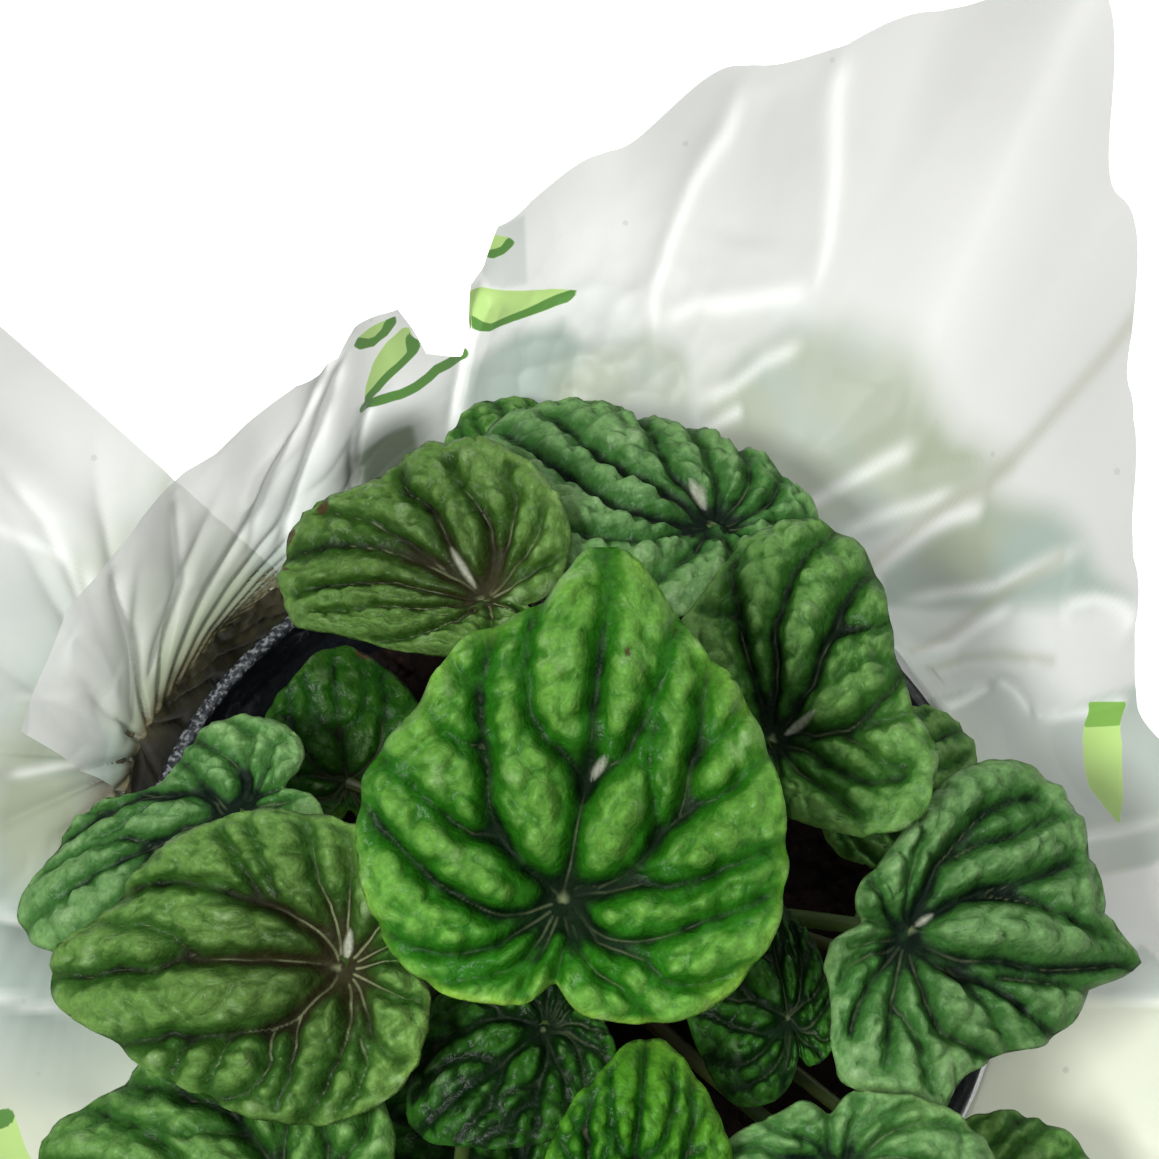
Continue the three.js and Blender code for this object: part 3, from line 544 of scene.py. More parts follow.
def blemish(points, form, table):
    """How far inside a leaf's blemishes each point lies, in millimetres."""
    inside = np.full(len(points), -9.0)
    for run, half_width in table.get(form["name"], []):
        distance, along = distance_to_run(points, vein_run(run, form))
        taper = 0.15 + 0.85 * np.sin(math.pi * along) ** 0.7
        inside = np.maximum(inside, half_width * taper - distance * form["length"])
    return inside


def blade_field(angle, share, form):
    """Places of blade points in the leaf's own frame, in millimetres, with their masks."""
    length = form["length"]
    radius = share * margin_share(angle, form["lobes"]) * margin_trim(angle, form["name"])
    flat = np.stack([radius * np.cos(angle), radius * np.sin(angle)], 1)
    sunk = np.zeros(len(flat))
    hollow = np.zeros(len(flat))
    line = np.full(len(flat), 9.0)
    scallop = np.zeros(len(flat))
    for run, width, depth in OWN_VEINS.get(form["name"], COMMON_VEINS):
        path = vein_run(run, form)
        distance, along = distance_to_run(flat, path)
        deep = depth * (1 - 0.35 * along)
        sunk += 1.25 * deep * np.exp(-(distance / (0.62 * width)) ** 1.25)
        hollow += 0.42 * deep * bell(distance, 2.1 * width)
        line = np.minimum(line, distance + 0.004 * along)
        end = math.atan2(path[-1][1], path[-1][0])
        scallop += width * bell(turn_between(angle, end), 0.07)
    rumple, own = cushions(flat, form)
    rumple = rumple * (0.5 + 0.5 * own)
    ridge = np.exp(-sunk)
    dome = 0.55 * ridge + 0.62 * np.exp(-hollow)
    lift = form["relief"] * LEAF["relief"] * length * dome * (0.76 + 0.26 * rumple) * (1 - 0.5 * share ** 5)
    skin = wrinkle(flat * length, form["seed"])
    lift += LEAF["crinkle"] * skin * (0.35 + 0.65 * ridge)
    ripple = np.sin(2 * math.pi * (radius * length / LEAF["ripple_spacing"] + own) + 1.3 * skin)
    ripple = ripple * smooth(0.45, 0.95, ridge) * smooth(0.1, 0.3, share)
    lift += LEAF["ripple"] * ripple
    stretch = 1 - 0.55 * scallop * share ** 4
    x, y = flat[:, 0] * stretch, flat[:, 1] * stretch
    y = y * np.where(y > 0, form["left"], form["right"])
    x = x + form["sweep"] * np.abs(y)
    bend = form["cup"] * (x * x + y * y) - form["droop"] * np.maximum(x, 0) ** 3
    bend -= np.where(y > 0, form["drop_left"], form["drop_right"]) * y * y
    ruffle = LEAF["margin_wave"] * share ** 3 * np.sin(3 * angle)
    ruffle += LEAF["margin_frill"] * share ** 6 * np.sin(11 * angle + form["seed"])
    lip = LEAF["margin_lip"] * smooth(0.95, 1.0, share)
    points = np.stack([x * length, y * length, lift + length * (bend + ruffle - lip)], 1)
    return points, {"ridge": ridge, "rumple": rumple, "vein_line": line * length, "reach": share,
                    "lobe": smooth(0.9, 2.3, np.abs(angle)), "ripple": ripple,
                    "scar": blemish(flat, form, SCARS), "streak": blemish(flat, form, STREAKS)}


def leaf_matrix(form):
    """Turns a blade by its roll, pitch and heading and sets it at its junction."""
    turn = Matrix.Rotation(math.radians(form["heading"]), 4, "Z")
    turn = turn @ Matrix.Rotation(-math.radians(form["pitch"]), 4, "Y")
    turn = turn @ Matrix.Rotation(math.radians(form["roll"]), 4, "X")
    return Matrix.Translation(form["junction"]) @ turn


def crown_height(radius):
    return CROWN["foot"] + (CROWN["top"] - CROWN["foot"]) * math.sqrt(1 - (radius / CROWN["radius"]) ** 2)


def petiole_feet():
    """Where each petiole stands on the crown: two rings, in the order of the leaves round it."""
    feet = {}
    for radius, takes in FOOT_RINGS:
        members = [form for form in LEAVES if takes(form["junction"].xy.length)]
        members.sort(key=lambda form: math.atan2(form["junction"].y, form["junction"].x))
        step = 2 * math.pi / len(members)
        offsets = [math.atan2(form["junction"].y, form["junction"].x) - i * step
                   for i, form in enumerate(members)]
        first = math.atan2(sum(map(math.sin, offsets)), sum(map(math.cos, offsets)))
        for i, form in enumerate(members):
            turn = first + i * step
            feet[form["name"]] = Vector((radius * math.cos(turn), radius * math.sin(turn),
                                         crown_height(radius) - LEAF["foot_sunk"]))
    return feet


def add_petiole(bm, form, foot, matrix):
    """Draws a round stalk out of a circle along its arch, from the crown into the blade."""
    radius = LEAF["petiole_radius"] + LEAF["petiole_share"] * form["length"]
    end = form["junction"] - LEAF["petiole_sunk"] * matrix.col[2].xyz
    reach = end - foot
    middle = foot + Vector((0.42 * reach.x, 0.42 * reach.y, form["arch"] * reach.z))
    steps = 22
    circle = bmesh.ops.create_circle(bm, cap_ends=True, segments=12, radius=1)["verts"]
    bm.verts.ensure_lookup_table()
    ring = sorted(circle, key=lambda vertex: vertex.index)
    shape = [vertex.co.copy() for vertex in ring]
    edges = [edge for edge in bm.edges if edge.verts[0] in set(ring) and edge.verts[1] in set(ring)]
    for step in range(steps + 1):
        t = step / steps
        place = foot.lerp(middle, t).lerp(middle.lerp(end, t), t)
        ahead = (middle - foot).lerp(end - middle, t).normalized()
        side = ahead.cross(Vector((0.3, 0.2, 1))).normalized()
        over = side.cross(ahead)
        wide = radius * (1.18 - 0.3 * t + 0.25 * max(0, t - 0.85) / 0.15)
        if step:
            made = bmesh.ops.extrude_edge_only(bm, edges=edges)["geom"]
            fresh = [item for item in made if isinstance(item, bmesh.types.BMVert)]
            edges = [item for item in made if isinstance(item, bmesh.types.BMEdge)
                     and item.verts[0] in set(fresh) and item.verts[1] in set(fresh)]
            pairs = {}
            for vertex in fresh:
                old = next(edge.other_vert(vertex) for edge in vertex.link_edges
                           if edge.other_vert(vertex) not in set(fresh))
                pairs[old] = vertex
            ring = [pairs[vertex] for vertex in ring]
        for vertex, corner in zip(ring, shape):
            vertex.co = place + wide * (corner.x * side + corner.y * over)


def build_leaf(form, foot, materials):
    """The blade, its underside a wall's thickness below, its closed margin, and its petiole."""
    size = min(form["length"] / LEAF["full_length"], 1) ** 0.8
    columns = int((232) * max(size, 0.42))
    rings = int((54) * max(size, 0.36))
    bm = polar_disc([((i + 1) / rings) ** 0.82 for i in range(rings)], columns)
    flat = places(bm)
    points, masks = blade_field(np.arctan2(flat[:, 1], flat[:, 0]), np.hypot(flat[:, 0], flat[:, 1]), form)
    move_to(bm, points)
    for name, values in masks.items():
        store(bm, name, values)
    young = form["length"] < LEAF["young_length"]
    close_wall(bm, LEAF["young_thickness"] if young else LEAF["thickness"])
    matrix = leaf_matrix(form)
    bmesh.ops.transform(bm, matrix=matrix, verts=bm.verts)
    blade_faces = len(bm.faces)
    add_petiole(bm, form, foot, matrix)
    bm.faces.ensure_lookup_table()
    stalk = bm.faces[blade_faces:]
    for face in stalk:
        face.material_index = 2
    bmesh.ops.recalc_face_normals(bm, faces=stalk)
    bmesh.ops.scale(bm, vec=(MM, MM, MM), verts=bm.verts)
    piece = new_piece("fine_" + form["name"], bm, materials)
    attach(piece, "root")
    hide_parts(form["name"])


def close_wall(bm, thickness):
    """Gives a sheet a second face below the first and joins the two along the rim."""
    bm.normal_update()
    rim = [edge for edge in bm.edges if edge.is_boundary]
    upper = list(bm.verts)
    normals = [vertex.normal.copy() for vertex in upper]
    made = bmesh.ops.duplicate(bm, geom=list(bm.verts) + list(bm.edges) + list(bm.faces))
    pairs = made["vert_map"]
    for vertex, normal in zip(upper, normals):
        pairs[vertex].co = vertex.co - thickness * normal
    lower_faces = [item for item in made["geom"] if isinstance(item, bmesh.types.BMFace)]
    bmesh.ops.reverse_faces(bm, faces=lower_faces)
    for face in lower_faces:
        face.material_index = 1
    twins = [made["edge_map"][edge] for edge in rim]
    bmesh.ops.bridge_loops(bm, edges=rim + twins)


# ------------------------------------------------------------------ leaves: finish

def make_leaf_surface():
    """Colour, roughness and fine relief of a quilted leaf, from the masks its mesh carries, with painted
    shade darkening its grooves and a painted sheen on its crests.
    """
    tones = [(label, "colour", (0, 0, 0, 1))
             for label in ("Groove", "Slope", "Crest", "Edge", "Vein", "Blush")]
    amounts = [("Blush amount", "value", 0.0), ("Vein amount", "value", 0.5)]
    tree, n, given, out = new_group(
        "quilted_leaf", tones + amounts,
        [("Colour", "colour"), ("Roughness", "value"), ("Height", "value")])
    own = n.own_places()
    ridge = n.attribute("ridge")
    rumple = n.attribute("rumple")
    reach = n.attribute("reach")
    line = n.attribute("vein_line")
    lobe = n.between(n.attribute("lobe"), 0, 1, 0.3, 1.0)
    grain = n.noise(own, 2600, 2)
    mottle = n.noise(own, 420, 4)
    broad = n.noise(own, 95, 2)
    height = n.maths("MULTIPLY", ridge, n.between(rumple, 0, 0.8, 0.8, 1.0))
    for uneven in (mottle, broad):
        height = n.maths("ADD", height, n.maths("MULTIPLY", n.maths("SUBTRACT", uneven, 0.5), 0.4))
    height = n.maths("ADD", height, n.maths("MULTIPLY", n.attribute("ripple"), 0.11))
    # The colour runs from groove to crest: the leaf's own tone, with painted shade making the grooves near
    # black.
    colour = n.mix(n.between(height, 0.1, 0.5), given["Groove"], given["Slope"])
    colour = n.mix(n.between(height, 0.5, 0.95), colour, given["Crest"])
    spot = n.maths("MULTIPLY", n.between(broad, 0.52, 0.75), n.between(reach, 0.3, 0.9, 0.0, 0.6))
    spot = n.maths("MULTIPLY", spot, lobe)
    colour = n.mix(n.maths("MULTIPLY", spot, ridge), colour, given["Edge"])
    edge = n.maths("MULTIPLY", n.between(reach, 0.91, 1.0), n.between(broad, 0.4, 0.65, 0.1, 0.8))
    edge = n.maths("MULTIPLY", edge, lobe)
    colour = n.mix(edge, colour, given["Edge"])
    centre = n.between(reach, 0.12, 0.75, 1.0, 0.0)
    low = n.between(height, 0.15, 0.6, 1.0, 0.5)
    brown = n.maths("MULTIPLY", n.maths("MULTIPLY", centre, low), given["Blush amount"])
    colour = n.mix(brown, colour, given["Blush"])
    thin = n.between(line, 0.06, 0.24, 1.0, 0.0)
    broken = n.between(n.noise(own, 150, 2), 0.4, 0.62)
    shown = n.maths("MULTIPLY", n.maths("MULTIPLY", thin, broken), given["Vein amount"])
    colour = n.mix(shown, colour, given["Vein"])
    knob = n.between(reach, 0.0, 0.04, 0.4, 0.0)
    colour = n.mix(knob, colour, given["Vein"])
    # Painted sheen: soft pale glints painted on the crests, in place of the lamps' reflection.
    painted_sheen = n.between(n.noise(own, 230, 3), 0.54, 0.72, 0.0, 0.4)
    painted_sheen = n.maths("MULTIPLY", painted_sheen, n.between(height, 0.65, 1.0))
    colour = n.mix(painted_sheen, colour, tone("#a3bd8e"))
    colour = n.mix(n.between(n.attribute("scar"), -0.3, 0.1, 0.0, 0.85), colour, tone("#4a3622"))
    colour = n.mix(n.between(n.attribute("streak"), -0.2, 0.4, 0.0, 0.75), colour, tone("#b4b8a4"))
    net = n.cells(own, 900)
    fleck = n.between(n.noise(own, 1500, 2), 0.35, 0.7, 0.86, 1.12)
    fleck = n.maths("MULTIPLY", fleck, n.between(n.attribute("lobe"), 0.0, 1.0, 0.86, 1.04))
    grey = n.add("ShaderNodeCombineColor", {0: fleck, 1: fleck, 2: fleck}).outputs[0]
    colour = n.mix(1.0, colour, grey, "MULTIPLY")
    relief = n.maths("ADD", n.between(net, 0.0, 0.25, 0.0, 0.25), n.maths("MULTIPLY", grain, 0.3))
    relief = n.maths("ADD", relief, n.maths("MULTIPLY", mottle, 2.2))
    rough = n.maths("ADD", n.between(mottle, 0.3, 0.7, 0.34, 0.46), n.between(ridge, 0.0, 0.5, 0.35, 0.0))
    for label, source in (("Colour", colour), ("Roughness", rough), ("Height", relief)):
        tree.links.new(source, out.inputs[label])
    return tree


# Groove, slope, crest and edge colours, then how brown the heart is and how pale the veins are.
# The very dark groove colours are painted shade in the furrows.
LEAF_FINISHES = {
    "fresh": ("#021a03", "#246510", "#62993c", "#92c046", 0.0, 0.16),
    "plain": ("#031604", "#305f20", "#66934a", "#7ca852", 0.0, 0.16),
    "olive": ("#061102", "#31591e", "#648c43", "#80a650", 0.85, 0.5),
    "dusky": ("#050d02", "#2c4e16", "#5a7e3b", "#6f904c", 0.75, 0.4),
    "bluish": ("#03160a", "#37662c", "#6a9358", "#7da460", 0.0, 0.2),
    # The deep finish is a darker copy of the others: painted shade for the leaves that lie low, under the
    # rest.
    "deep": ("#041c06", "#0b2807", "#2b6018", "#3f7c27", 0.0, 0.1),
    "shade": ("#041c02", "#154506", "#285410", "#48691c", 0.2, 0.1),
    "bright": ("#021a02", "#175009", "#4a8a20", "#86c03c", 0.0, 0.18),
}


def make_leaf_materials(surface):
    made = {}
    for name, (groove, slope, crest, edge, blush, vein) in LEAF_FINISHES.items():
        material, n, shader = new_material("leaf_" + name, specular_ior_level=0.13)
        parts = place_group(n, surface, groove=tone(groove), slope=tone(slope), crest=tone(crest),
                            edge=tone(edge), vein=tone("#9fab7c"), blush=tone("#33301a"),
                            blush_amount=blush, vein_amount=vein)
        join(n, shader, base_color=parts["Colour"], roughness=parts["Roughness"])
        bump(n, shader, parts["Height"], 0.35, 0.0004)
        made[name] = material
    return made


def make_underside(surface):
    material, n, shader = new_material("leaf_underside", specular_ior_level=0.4)
    parts = place_group(n, surface, groove=tone("#9aae78"), slope=tone("#7d9a5e"), crest=tone("#5f8045"),
                        edge=tone("#8aa863"), vein=tone("#b7b58c"), blush=tone("#7a5a4a"),
                        blush_amount=0.5, vein_amount=1.0)
    join(n, shader, base_color=parts["Colour"])
    shader.inputs["Roughness"].default_value = 0.6
    bump(n, shader, parts["Height"], 0.3, 0.0002)
    return material


# Between these heights, in metres, the pink flush of the petioles fades.
FLUSH_HEIGHTS = (0.084, 0.102)


def make_petiole_material():
    material, n, shader = new_material("petiole", roughness=0.38, specular_ior_level=0.5)
    own = n.own_places()
    streak = n.noise(n.stretched(own, 0.25), 1400, 3)
    high = n.add("ShaderNodeSeparateXYZ", {0: own}).outputs[2]
    pink = n.maths("MULTIPLY", n.between(high, *FLUSH_HEIGHTS, 1.0, 0.15),
                   n.between(streak, 0.35, 0.65, 0.4, 1.0))
    colour = n.mix(streak, tone("#314818"), tone("#4a6630"))
    colour = n.mix(pink, colour, tone("#503026"))
    join(n, shader, base_color=colour)
    bump(n, shader, streak, 0.25, 0.0002)
    return material


def build_leaves():
    surface = make_leaf_surface()
    uppers = make_leaf_materials(surface)
    under = make_underside(surface)
    stalk = make_petiole_material()
    feet = petiole_feet()
    for form in LEAVES:
        build_leaf(form, feet[form["name"]], [uppers[form["finish"]], under, stalk])


# ------------------------------------------------------------------ film sleeve

# Directions and spreads are in degrees and the rest in millimetres, apart from the number of
# folds in the hem and the skirt's share of the film's rows.
SLEEVE = {
    "start": 129, "end": 525, "overlap_end": 165, "overlap_fade": 30, "overlap_step": 1.6,
    "clearance": 0.5, "collar_radius": 50, "collar_height": 88.6,
    "stand_off": 3, "stand_off_at": 145, "stand_off_spread": 28,
    "hem_fold": 2.2, "hem_folds": 16, "skirt_share": 0.25,
    "flat_radius": 78, "flat_height": 48, "least_crease_width": 0.8,
    "gap_at": 145, "gap_spread": 34,
}

# Heights up the skirt and how far in it lies there.
SKIRT = [(4, 7.5), (42, 4.5), (79, 0)]

# Where each stretch of the film's columns starts and how close together they stand in it.
FILM_COLUMNS = [(SLEEVE["start"], 1.3), (172, 0.5), (345, 1.25), (450, 2.8), (482, 1.4)]

# Stretches of the film that look different: the directions where each sets in, is full, starts
# to go and is gone. One of them carries a painted glow on the right and back of the film, another
# a painted dark shadow on the back left.
STRETCHES = {
    "cream": (190, 215, 347.5, 349),
    "glow": (345, 352, 430, 470),
    "shadow_patch": (462, 468, 474, 482),
    "print_pale": (345, 350, 400, 405),
}
# The film's colours. The far, shade and warm shade, fold, gap and dark patch tones are painted shade, and
# the crease tone is a painted highlight.
FILM_TONES = {
    "clear": "#cbccc9", "clear_far_shade": "#b2b3b0", "shade": "#7f9285", "warm_shade": "#8b957c",
    "crease_highlight": "#f4f5f2", "fold": "#83866a", "shadow_patch": "#2c3c22", "cream": "#ccd1b8",
    "print": "#a8ca72", "print_border": "#3c7800", "pale_border": "#6fa03a",
    "gap_shade_fade": "#55553f", "gap": "#2a2918", "gap_streak": "#5e5a42", "fleck": "#8a8d84",
}

# Direction in degrees, shoulder radius and height, edge radius and height, swing of the edge.
FLARE = [
    (129, 68, 96, 88, 115, 8), (150, 68, 94, 91, 121, 4), (180, 72, 92, 91, 122, 0),
    (225, 80, 92, 93, 119, 0), (270, 78, 92, 95, 118, 0), (300, 82, 92, 98, 116, 0),
    (325, 84, 92, 99, 113, 0), (347, 72, 92, 88, 105, 0), (362, 63, 91, 76, 102, 0),
    (376, 58, 91, 68, 101, 0), (387, 57, 91, 74, 110, 0), (398, 57, 91, 82, 120, 0),
    (408, 59, 91, 93, 129, 0), (417, 61, 91, 110, 138, 0), (425, 63, 91, 100, 135, 0),
    (437, 66, 91, 90, 130, 0), (446, 69, 91, 83, 122, 0), (456, 71, 91, 77, 115, 0),
    (468, 69, 92, 71, 114, 0), (480, 62, 93, 66, 113, 0), (495, 60, 94, 67, 108, 0),
    (525, 59, 94, 66, 101, 0),
]

# How far up the flare the cut edge lies in each direction, where it is torn or folded down.
EDGE = [
    (129, 1), (150, 0.97), (172, 1), (190, 0.96), (213, 0.99), (236, 0.95), (262, 1), (284, 0.96),
    (305, 0.99), (330, 0.95), (352, 0.99), (366, 0.96), (377.8, 0.97), (383, 0.92), (388.7, 0.97),
    (396, 0.96), (401, 1), (424, 1), (430, 0.97), (436, 0.99), (443, 0.98), (447, 0.96), (453, 0.97),
    (456, 0.95), (457.6, 0.83), (459, 0.79), (459.6, 0.63), (460.6, 0.56), (464.3, 0.64),
    (465.2, 0.75), (466.5, 0.86), (471, 0.87), (473.5, 0.8), (475.4, 0.81), (479, 0.87),
    (489.3, 0.83), (493, 0.86), (501.7, 0.82), (507, 0.83), (512, 0.89), (517, 0.85), (525, 0.85),
]

# Creases in the flare. Each is a run of places given by direction and height up the flare,
# then how far it stands out in millimetres and its width in millimetres.
CREASES = [
    ([(436, 0.99), (437.3, 0.89), (439.3, 0.82), (440.7, 0.73), (441.7, 0.63), (441.2, 0.5)], 1.7, 1.1),
    ([(434.5, 0.97), (434, 0.8), (434.5, 0.7)], -0.8, 3.0),
    ([(430.3, 0.98), (429.8, 0.9), (428.4, 0.8), (427.4, 0.71), (426.9, 0.61)], 1.3, 0.8),
    ([(426.9, 0.63), (430.8, 0.62), (437.3, 0.6), (441.2, 0.57)], 0.4, 0.8),
    ([(425.9, 0.55), (429.8, 0.5), (432.3, 0.44), (436.3, 0.39)], 0.9, 1.2),
    ([(430.3, 0.4), (432.8, 0.35), (434.8, 0.31)], 0.8, 1.2),
    ([(401.6, 0.6), (403.6, 0.52), (406.1, 0.42), (408, 0.3), (409.5, 0.2)], 0.7, 1.2),
    ([(420.9, 0.2), (416, 0.35), (411, 0.53)], 0.8, 1.6),
    ([(415, 0.2), (410, 0.39), (405.1, 0.54)], 0.7, 1.6),
    ([(426, 0.2), (420, 0.38), (415, 0.55)], -0.8, 2.4),
    ([(404.1, 0.18), (399.6, 0.37), (395.6, 0.5), (393.2, 0.68), (390.7, 0.86)], 1.0, 1.3),
    ([(399, 0.05), (394.7, 0.26), (393.7, 0.42), (392.2, 0.58)], 1.0, 1.3),
    ([(394.2, 0.02), (392.2, 0.17), (389.2, 0.39), (385.2, 0.57)], -1.0, 1.6),
    ([(389.2, 0.7), (387.2, 0.81), (384.7, 0.88), (382, 0.94)], 1.0, 1.5),
    ([(389, 0.02), (388.2, 0.16), (387.7, 0.37)], 1.0, 0.6),
    ([(387.7, 0.37), (385.2, 0.41), (381.3, 0.44)], 0.8, 1.2),
    ([(381.3, 0.44), (378.8, 0.72), (377.3, 0.97)], 1.1, 1.0),
    ([(368.5, 0.2), (366.9, 0.38), (366.4, 0.53), (365.9, 0.8)], 0.9, 0.7),
    ([(347, 0.1), (348, 0.31), (348.5, 0.9)], 1.2, 0.7),
    ([(355, 0.1), (353, 0.5), (356, 0.98)], -1.2, 3.0),
    ([(338, 0.1), (334, 0.5), (339, 0.97)], 1.5, 2.2), ([(322, 0.05), (327, 0.6), (321, 0.97)], -1.4, 2.4),
    ([(310, 0.1), (314, 0.4), (308, 0.97)], 1.3, 1.2), ([(297, 0.2), (292, 0.95)], 1.5, 1.4),
    ([(283, 0.05), (287, 0.4), (279, 0.95)], -1.4, 2.4), ([(268, 0.1), (264, 0.97)], 1.3, 1.2),
    ([(255, 0.1), (258, 0.5), (250, 0.95)], 1.5, 1.6), ([(243, 0.1), (238, 0.6), (241, 0.97)], -1.3, 2.2),
    ([(229, 0.1), (226, 0.5), (230, 0.95)], 1.3, 1.2), ([(217, 0.1), (214, 0.95)], 1.1, 1.0),
    ([(206, 0.05), (202, 0.5), (205, 0.95)], -1.3, 2.0), ([(194, 0.05), (190, 0.5), (192, 0.95)], 1.3, 1.2),
    ([(184, 0.05), (180, 0.6), (182, 0.97)], 1.2, 1.0), ([(176, 0.05), (173, 0.9)], -1.0, 1.8),
    ([(157.5, 0.02), (147.3, 0.08), (142.9, 0.15), (135.4, 0.26), (131.5, 0.33)], 1.3, 0.8),
    ([(156.5, 0.0), (150, 0.07), (140.4, 0.1), (133, 0.16), (130, 0.2)], 1.1, 0.8),
    ([(157, 0.02), (149.3, 0.14), (142.4, 0.28), (138.5, 0.38)], 1.2, 0.7),
    ([(157.3, 0.03), (149.3, 0.21), (145.4, 0.33), (142.4, 0.45)], 1.2, 0.8),
    ([(157.3, 0.03), (153.8, 0.18), (148.3, 0.34), (144.4, 0.5)], -1.2, 1.2),
    ([(159.2, 0.03), (159.2, 0.13), (154.8, 0.2), (156.8, 0.28), (160, 0.42)], 1.3, 0.8),
    ([(161.2, 0.04), (164.2, 0.18), (168.2, 0.34)], 1.2, 0.8),
    ([(140.4, 0.75), (141.9, 0.57), (144.4, 0.44), (147.3, 0.34), (150, 0.25)], 1.4, 1.1),
    ([(147, 0.75), (145.4, 0.61), (144.4, 0.54), (143.9, 0.46)], 1.0, 1.0),
    ([(472, 0.84), (476.9, 0.78), (480.9, 0.68), (485.4, 0.54), (490.8, 0.3)], 1.3, 0.7),
    ([(472.5, 0.79), (476.9, 0.67), (480.9, 0.48), (488.8, 0.17)], 1.2, 0.7),
    ([(474.4, 0.74), (478.9, 0.57), (482.9, 0.38), (488.3, 0.12)], 1.2, 0.7),
    ([(474.4, 0.5), (476.4, 0.28), (478, 0.1)], 1.0, 0.7),
    ([(471, 0.56), (473.5, 0.44), (476.4, 0.27)], 1.0, 0.6),
    ([(474.9, 0.8), (480.4, 0.7), (485.4, 0.6), (490, 0.47)], -1.0, 1.0),
    ([(457.6, 0.8), (459.6, 0.64), (461.1, 0.51), (464, 0.28)], 1.3, 0.6),
    ([(456.2, 0.74), (458.6, 0.6), (461.6, 0.38)], -1.0, 1.2),
    ([(495, 0.8), (500, 0.4), (512, 0.15)], 1.2, 0.8), ([(505, 0.8), (509, 0.4), (516, 0.12)], 1.2, 0.8),
    ([(514, 0.82), (515, 0.4), (519, 0.1)], -1.1, 1.3),
]

# Sharp folds of the film, painted as a thin dark line of shade.
FOLDS = [
    [(401.6, 1.0), (401.6, 0.94), (402.1, 0.83), (402.6, 0.72), (403.6, 0.59), (406.1, 0.48), (408, 0.33),
     (409.5, 0.2)],
    [(394.2, 0.1), (392.2, 0.28), (389.2, 0.45), (385.2, 0.6)],
    [(398, 0.08), (396, 0.28), (395, 0.48), (392.5, 0.72)],
]

# Printed corners of the film: the outline in direction and height up the flare, the run of its
# darker border and the width of that in millimetres, and whether it is filled in.
PRINTS = [
    ([(456.6, 0.93), (455.1, 0.91), (454.6, 0.89), (454.6, 0.88), (455.6, 0.86), (456.6, 0.85),
      (457.3, 0.86)], [(457.3, 0.85), (456.1, 0.85), (455.1, 0.86), (454.6, 0.88)], 1.5, True),
    ([(459.8, 0.78), (455.1, 0.74), (452.1, 0.7), (448.7, 0.66), (449.7, 0.64), (452.1, 0.64),
      (455.1, 0.64), (457.6, 0.625), (459.8, 0.65)],
     [(459.8, 0.66), (457.6, 0.62), (455.1, 0.635), (452.1, 0.64), (449.7, 0.64), (448.7, 0.655)],
     1.4, True),
    ([(466.8, 0.84), (469.5, 0.83), (471, 0.82), (471.6, 0.8), (471, 0.77), (469.5, 0.75), (468, 0.77),
      (466.8, 0.81)], [(471.5, 0.79), (470.5, 0.76), (469, 0.75), (467.5, 0.78), (467, 0.81)], 1.6, True),
    ([(472, 0.56), (471.4, 0.62), (470, 0.69), (468, 0.75), (466.3, 0.78), (465.5, 0.77),
      (465.5, 0.73), (464.5, 0.69), (465.2, 0.66), (467.4, 0.62), (470, 0.57)],
     [(472, 0.55), (470, 0.57), (467, 0.62), (465, 0.66), (465, 0.72)], 1.7, True),
    ([(472, 0.56), (468, 0.6), (464.5, 0.63), (460.8, 0.57), (463.5, 0.57), (464.5, 0.55), (466, 0.53),
      (468, 0.52), (470.5, 0.53)],
     [(472, 0.55), (469.5, 0.53), (468, 0.525), (466, 0.535), (464.5, 0.55), (463.5, 0.565),
      (462.1, 0.565), (460.6, 0.57)], 0.95, False),
    ([(379.6, 0.72), (377.6, 0.91), (373.8, 0.83), (369.4, 0.66), (366.9, 0.55), (368.9, 0.55),
      (371.4, 0.56), (375.4, 0.66)], [(379.6, 0.72), (377.6, 0.91)], 3.2, True),
    ([(203, 0.3), (203, 0.62), (210, 0.66), (209, 0.28)], [(203, 0.3), (203, 0.62)], 2.4, True),
    ([(295, 0.72), (297, 0.9), (312, 0.86), (306, 0.74)], [(295, 0.72), (297, 0.9)], 2.8, True),
]

